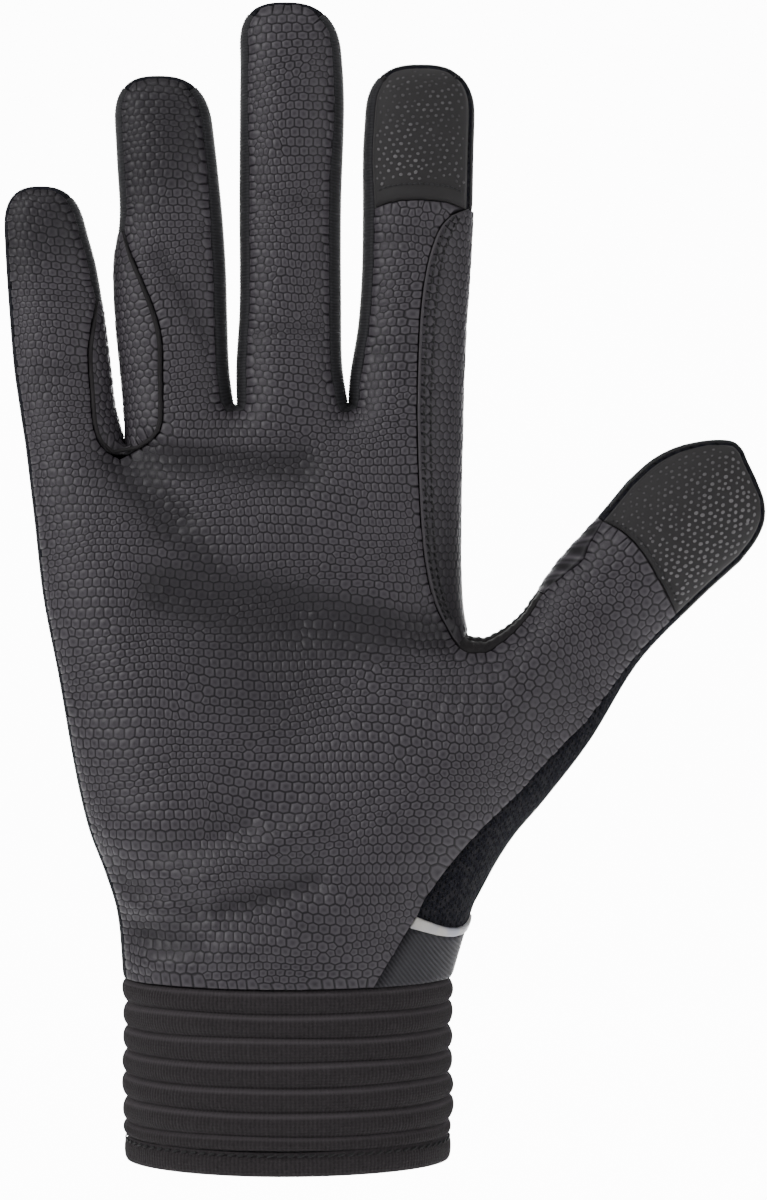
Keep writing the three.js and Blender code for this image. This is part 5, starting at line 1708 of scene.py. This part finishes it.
def seam_row(name, place, line, pitch, length, radius, high, material, slant, small=0.2):
    """Stitches at an even pitch along a line on the surface."""
    path = place(line)
    way = np.append(0, np.cumsum(np.linalg.norm(np.diff(path, axis=0), axis=1)))
    at = np.arange(pitch / 2, way[-1], pitch)
    uv = np.stack([np.interp(at, way, line[:, k]) for k in (0, 1)], axis=-1)
    spots, out = frames_on(place, uv)
    ahead, before = (np.stack([np.interp(at + shift, way, path[:, k]) for k in range(3)], axis=-1)
                     for shift in (small, -small))
    run = ahead - before
    across = np.cross(out, run)
    run = run / np.linalg.norm(run, axis=1)[:, None]
    run = run + slant * across / np.linalg.norm(across, axis=1)[:, None]
    return scatter(name, capsule(), spots + out * high, run, out,
                   [length, radius, radius * 0.8], material)


def cord(name, place, line, radius, high, material, sides=8):
    """Round cord along a line on the surface, thinner to its ends: a circle of so many points in
    the plane of the outward direction and the direction across the line."""
    spots, out = frames_on(place, line)
    run = np.gradient(spots, axis=0)
    across = np.cross(run, out)
    across /= np.linalg.norm(across, axis=1)[:, None]
    angle = 2 * np.pi * np.arange(sides) / sides
    share = np.linspace(0, 1, len(line))
    thick = radius * (0.35 + 0.65 * ease(np.minimum(share, 1 - share) * 12))
    ring = (np.cos(angle)[None, :, None] * across[:, None]
            + np.sin(angle)[None, :, None] * out[:, None])
    shape = spots[:, None] + out[:, None] * high + thick[:, None, None] * ring
    top = (len(line) - 1) * sides
    ends = [list(range(sides))[::-1], list(range(top, top + sides))]
    return mesh_object(name, shape.reshape(-1, 3), [ring_faces(len(line), sides), ends], material)


def edge_place(uv):
    """A strip's point from the way along the outline and the turn over the edge."""
    return edge_point(uv[:, 0], np.clip(uv[:, 1], -1, 1))


def oval_place(uv):
    """The hem's face: way round in radians, height."""
    reach = wrist_width / 2 - rib_bulge + 0.45, wrist_depth / 2 - rib_bulge + 0.45
    return np.stack([reach[0] * np.cos(uv[:, 0]), reach[1] * np.sin(uv[:, 0]), uv[:, 1]], axis=-1)


# %% Piping, twin rows on the side patch, and single rows on the pads and the hem
for name, strip, radius, high, material in (
        ("fork_piping", fork_strip, 0.42, 0.28, smooth_leather),
        ("side_piping", side_strip, 0.3, 0.22, leather_thread)):
    piping = cord(name, strip.place, strip.line(radius), radius, high, material)
    finish_piece(piping, "scale_leather")
round_hem = np.linspace(0, 2 * np.pi, 721)
hem_line = np.stack([round_hem, np.full_like(round_hem, hem_height * hem_groove)], axis=-1)
twin = 1.5, 1.2, 0.22, 0.36, black_thread, 0.25
single = 1.1, 0.85, 0.19, 0.12, dark_thread, 0.0
for name, slot, place, line, kind in (
        ("side_stitches_0", "scale_leather", side_strip.place, side_strip.line(1.1)[2:-3], twin),
        ("side_stitches_1", "scale_leather", side_strip.place, side_strip.line(2.3)[2:-3], twin),
        ("index_pad_stitches", "touch_pad", front_place, index_grid[break_rows + 2, 2:-2], single),
        ("thumb_pad_stitches", "touch_pad", front_place, thumb_grid[thumb_break + 1, 2:-2], single),
        ("hem_stitches", "cuff_knit", oval_place, hem_line,
         (2.0, 1.7, 0.27, 0.1, black_thread, 0.35))):
    finish_piece(seam_row(name, place, line, *kind), slot)

# %% Dots on the tip pads
dot_gap, dot_rows, dot_shift, dot_margin, dot_size = 1.55, 1.2, 0.75, 0.9, (0.5, 0.4, 0.16)


def dots(name, grid, first_row, seed, slope, bright):
    """Staggered, sloping rows of uneven dots over the pad, kept off its seams."""
    pick = np.random.default_rng(seed)
    ring = np.concatenate([grid[first_row, :], grid[first_row:, -1], grid[-1, ::-1],
                           grid[first_row:, 0][::-1]])
    low, high = ring.min(axis=0), ring.max(axis=0)
    reach = np.linalg.norm(high - low) / 2
    u, v = np.meshgrid(np.arange(-reach, reach, dot_gap), np.arange(-reach, reach, dot_rows))
    u = u + (np.arange(u.shape[0])[:, None] % 2) * dot_shift
    turned = np.array([np.cos(slope), np.sin(slope)]), np.array([-np.sin(slope), np.cos(slope)])
    uv = (low + high) / 2 + u.reshape(-1, 1) * turned[0] + v.reshape(-1, 1) * turned[1]
    uv = uv + pick.normal(0, 0.17, uv.shape)
    uv = uv[is_inside(uv, ring) & (nearest_on_line(uv, ring)[0] > dot_margin)]
    spots, out = frames_on(front_place, uv)
    shine = np.clip(bright(uv) + pick.uniform(-0.25, 0.25, len(uv)), 0, 1)
    size = pick.uniform(0.75, 1.15, len(uv)) * (0.7 + 0.3 * shine)
    run = np.tile([turned[0][0], 0, turned[0][1]], (len(uv), 1))
    run = run + pick.normal(0, 0.25, run.shape)
    print(name, len(uv))
    return scatter(name, dome(), spots, run, out, size[:, None, None] * np.array(dot_size),
                   dot_print, {"tint": shine})


finish_piece(dots("index_dots", index_grid, break_rows + 2, 1, 0.12,
                  lambda uv: 0.2 + 0.45 * ease((214 - uv[:, 1]) / 14) * ease((35 - uv[:, 0]) / 14)),
             "touch_pad")
finish_piece(dots("thumb_dots", thumb_grid, thumb_break, 2, 0.5,
                  lambda uv: 0.15 + 0.85 * ease(((uv - fork) @ thumb_side - 6) / 18)),
             "touch_pad")

# %% Overlocked edges of the pads
index_top = index_at + side_rows
for name, start, end in (
        ("index_overlock", travel[index_top], travel[index_at + per_finger - break_rows]),
        ("thumb_overlock", travel[fork_at + thumb_break + 4], travel[heel_at - thumb_break])):
    way = np.arange(start, end, 0.5)
    line = np.stack([way, np.full_like(way, -0.72)], axis=-1)
    row = seam_row(name, edge_place, line, 0.5, 1.5, 0.22, 0.1, dark_thread, 2.2)
    finish_piece(row, "touch_pad")

# %% [markdown]
# ## Light, floor and camera
#
# A pale floor, which lies below the picture, runs up into a bright wall, so the glove stands before
# white, as in the photograph. The wall glows only behind the glove. A big soft lamp from the left
# gives the leather its highlights, and weaker ones from the right and above keep the shadows open.
# The camera stands straight in front.

# %% Floor and wall in one sweep
floor_level = -0.8
profile = np.array([(-1.6, 0.0), (1.5, 0.0), (2.2, 0.1), (2.7, 0.5), (2.9, 1.1), (2.95, 3.0)])
wall_rows, wall_width = 60, 3.0
share = np.linspace(0, 1, wall_rows)
steps = np.linspace(0, 1, len(profile))
depth_line = np.interp(share, steps, profile[:, 0])
height_line = along(np.column_stack([steps, profile[:, 1]]), share)
across = np.linspace(-wall_width, wall_width, 3)
grid = np.stack([np.tile(across, wall_rows), np.repeat(depth_line, 3),
                 np.repeat(height_line + floor_level, 3)], axis=-1) * 1000


glow_height, glow_depth, glow_start, glow_end, glow_strength = 150.0, 2900.0, 850, 1500, 12.0


def room_finish():
    """Pale paint; a round glow behind the glove that fades out."""
    paint = Paint("room", (0.85, 0.85, 0.86), 0.9)
    x, y, z = paint.axes()
    near, up, back = x * 0.9, z - glow_height, (y - glow_depth) * 0.8
    away = (near * near + up * up + back * back).math("SQRT")
    paint.set("Emission Color", paint.blend(away.step(glow_start, glow_end), (1.0, 1.0, 1.0),
                                            (0.04, 0.04, 0.04)))
    paint.set("Emission Strength", glow_strength)
    return paint.material


sweep = mesh_object("room", grid, [grid_faces(wall_rows, 3)], room_finish())


# %% Lamps
def lamp(name, place_m, aim_m, size_m, power):
    """Square area lamp that looks at a point."""
    data = bpy.data.lights.new(name, "AREA")
    data.size, data.energy = size_m, power
    made = bpy.data.objects.new(name, data)
    bpy.context.scene.collection.objects.link(made)
    made.location = place_m
    aim = Vector(aim_m) - Vector(place_m)
    made.rotation_euler = aim.to_track_quat("-Z", "Y").to_euler()


lamp("key", (-0.75, -0.45, 0.5), (0, 0, 0.12), 0.4, 4.7)
lamp("fill", (0.8, -0.6, 0.2), (0, 0, 0.1), 0.8, 3.4)
lamp("top", (0.0, -0.25, 0.95), (0, 0, 0.12), 0.6, 1.6)
world = bpy.data.worlds.new("soft_room")
world.use_nodes = True
background = world.node_tree.nodes["Background"]
background.inputs["Color"].default_value = (1, 1, 1, 1)
background.inputs["Strength"].default_value = 0.17
bpy.context.scene.world = world

# %% Camera
camera_data = bpy.data.cameras.new("camera")
camera_data.lens, camera_data.sensor_width = 84.9, 36.0
camera = bpy.data.objects.new("camera", camera_data)
bpy.context.scene.collection.objects.link(camera)
camera.location = (0.0196, -0.58, 0.114)
camera.rotation_euler = (np.pi / 2, 0, 0)
bpy.context.scene.camera = camera

# %% The end
bpy.context.view_layer.update()
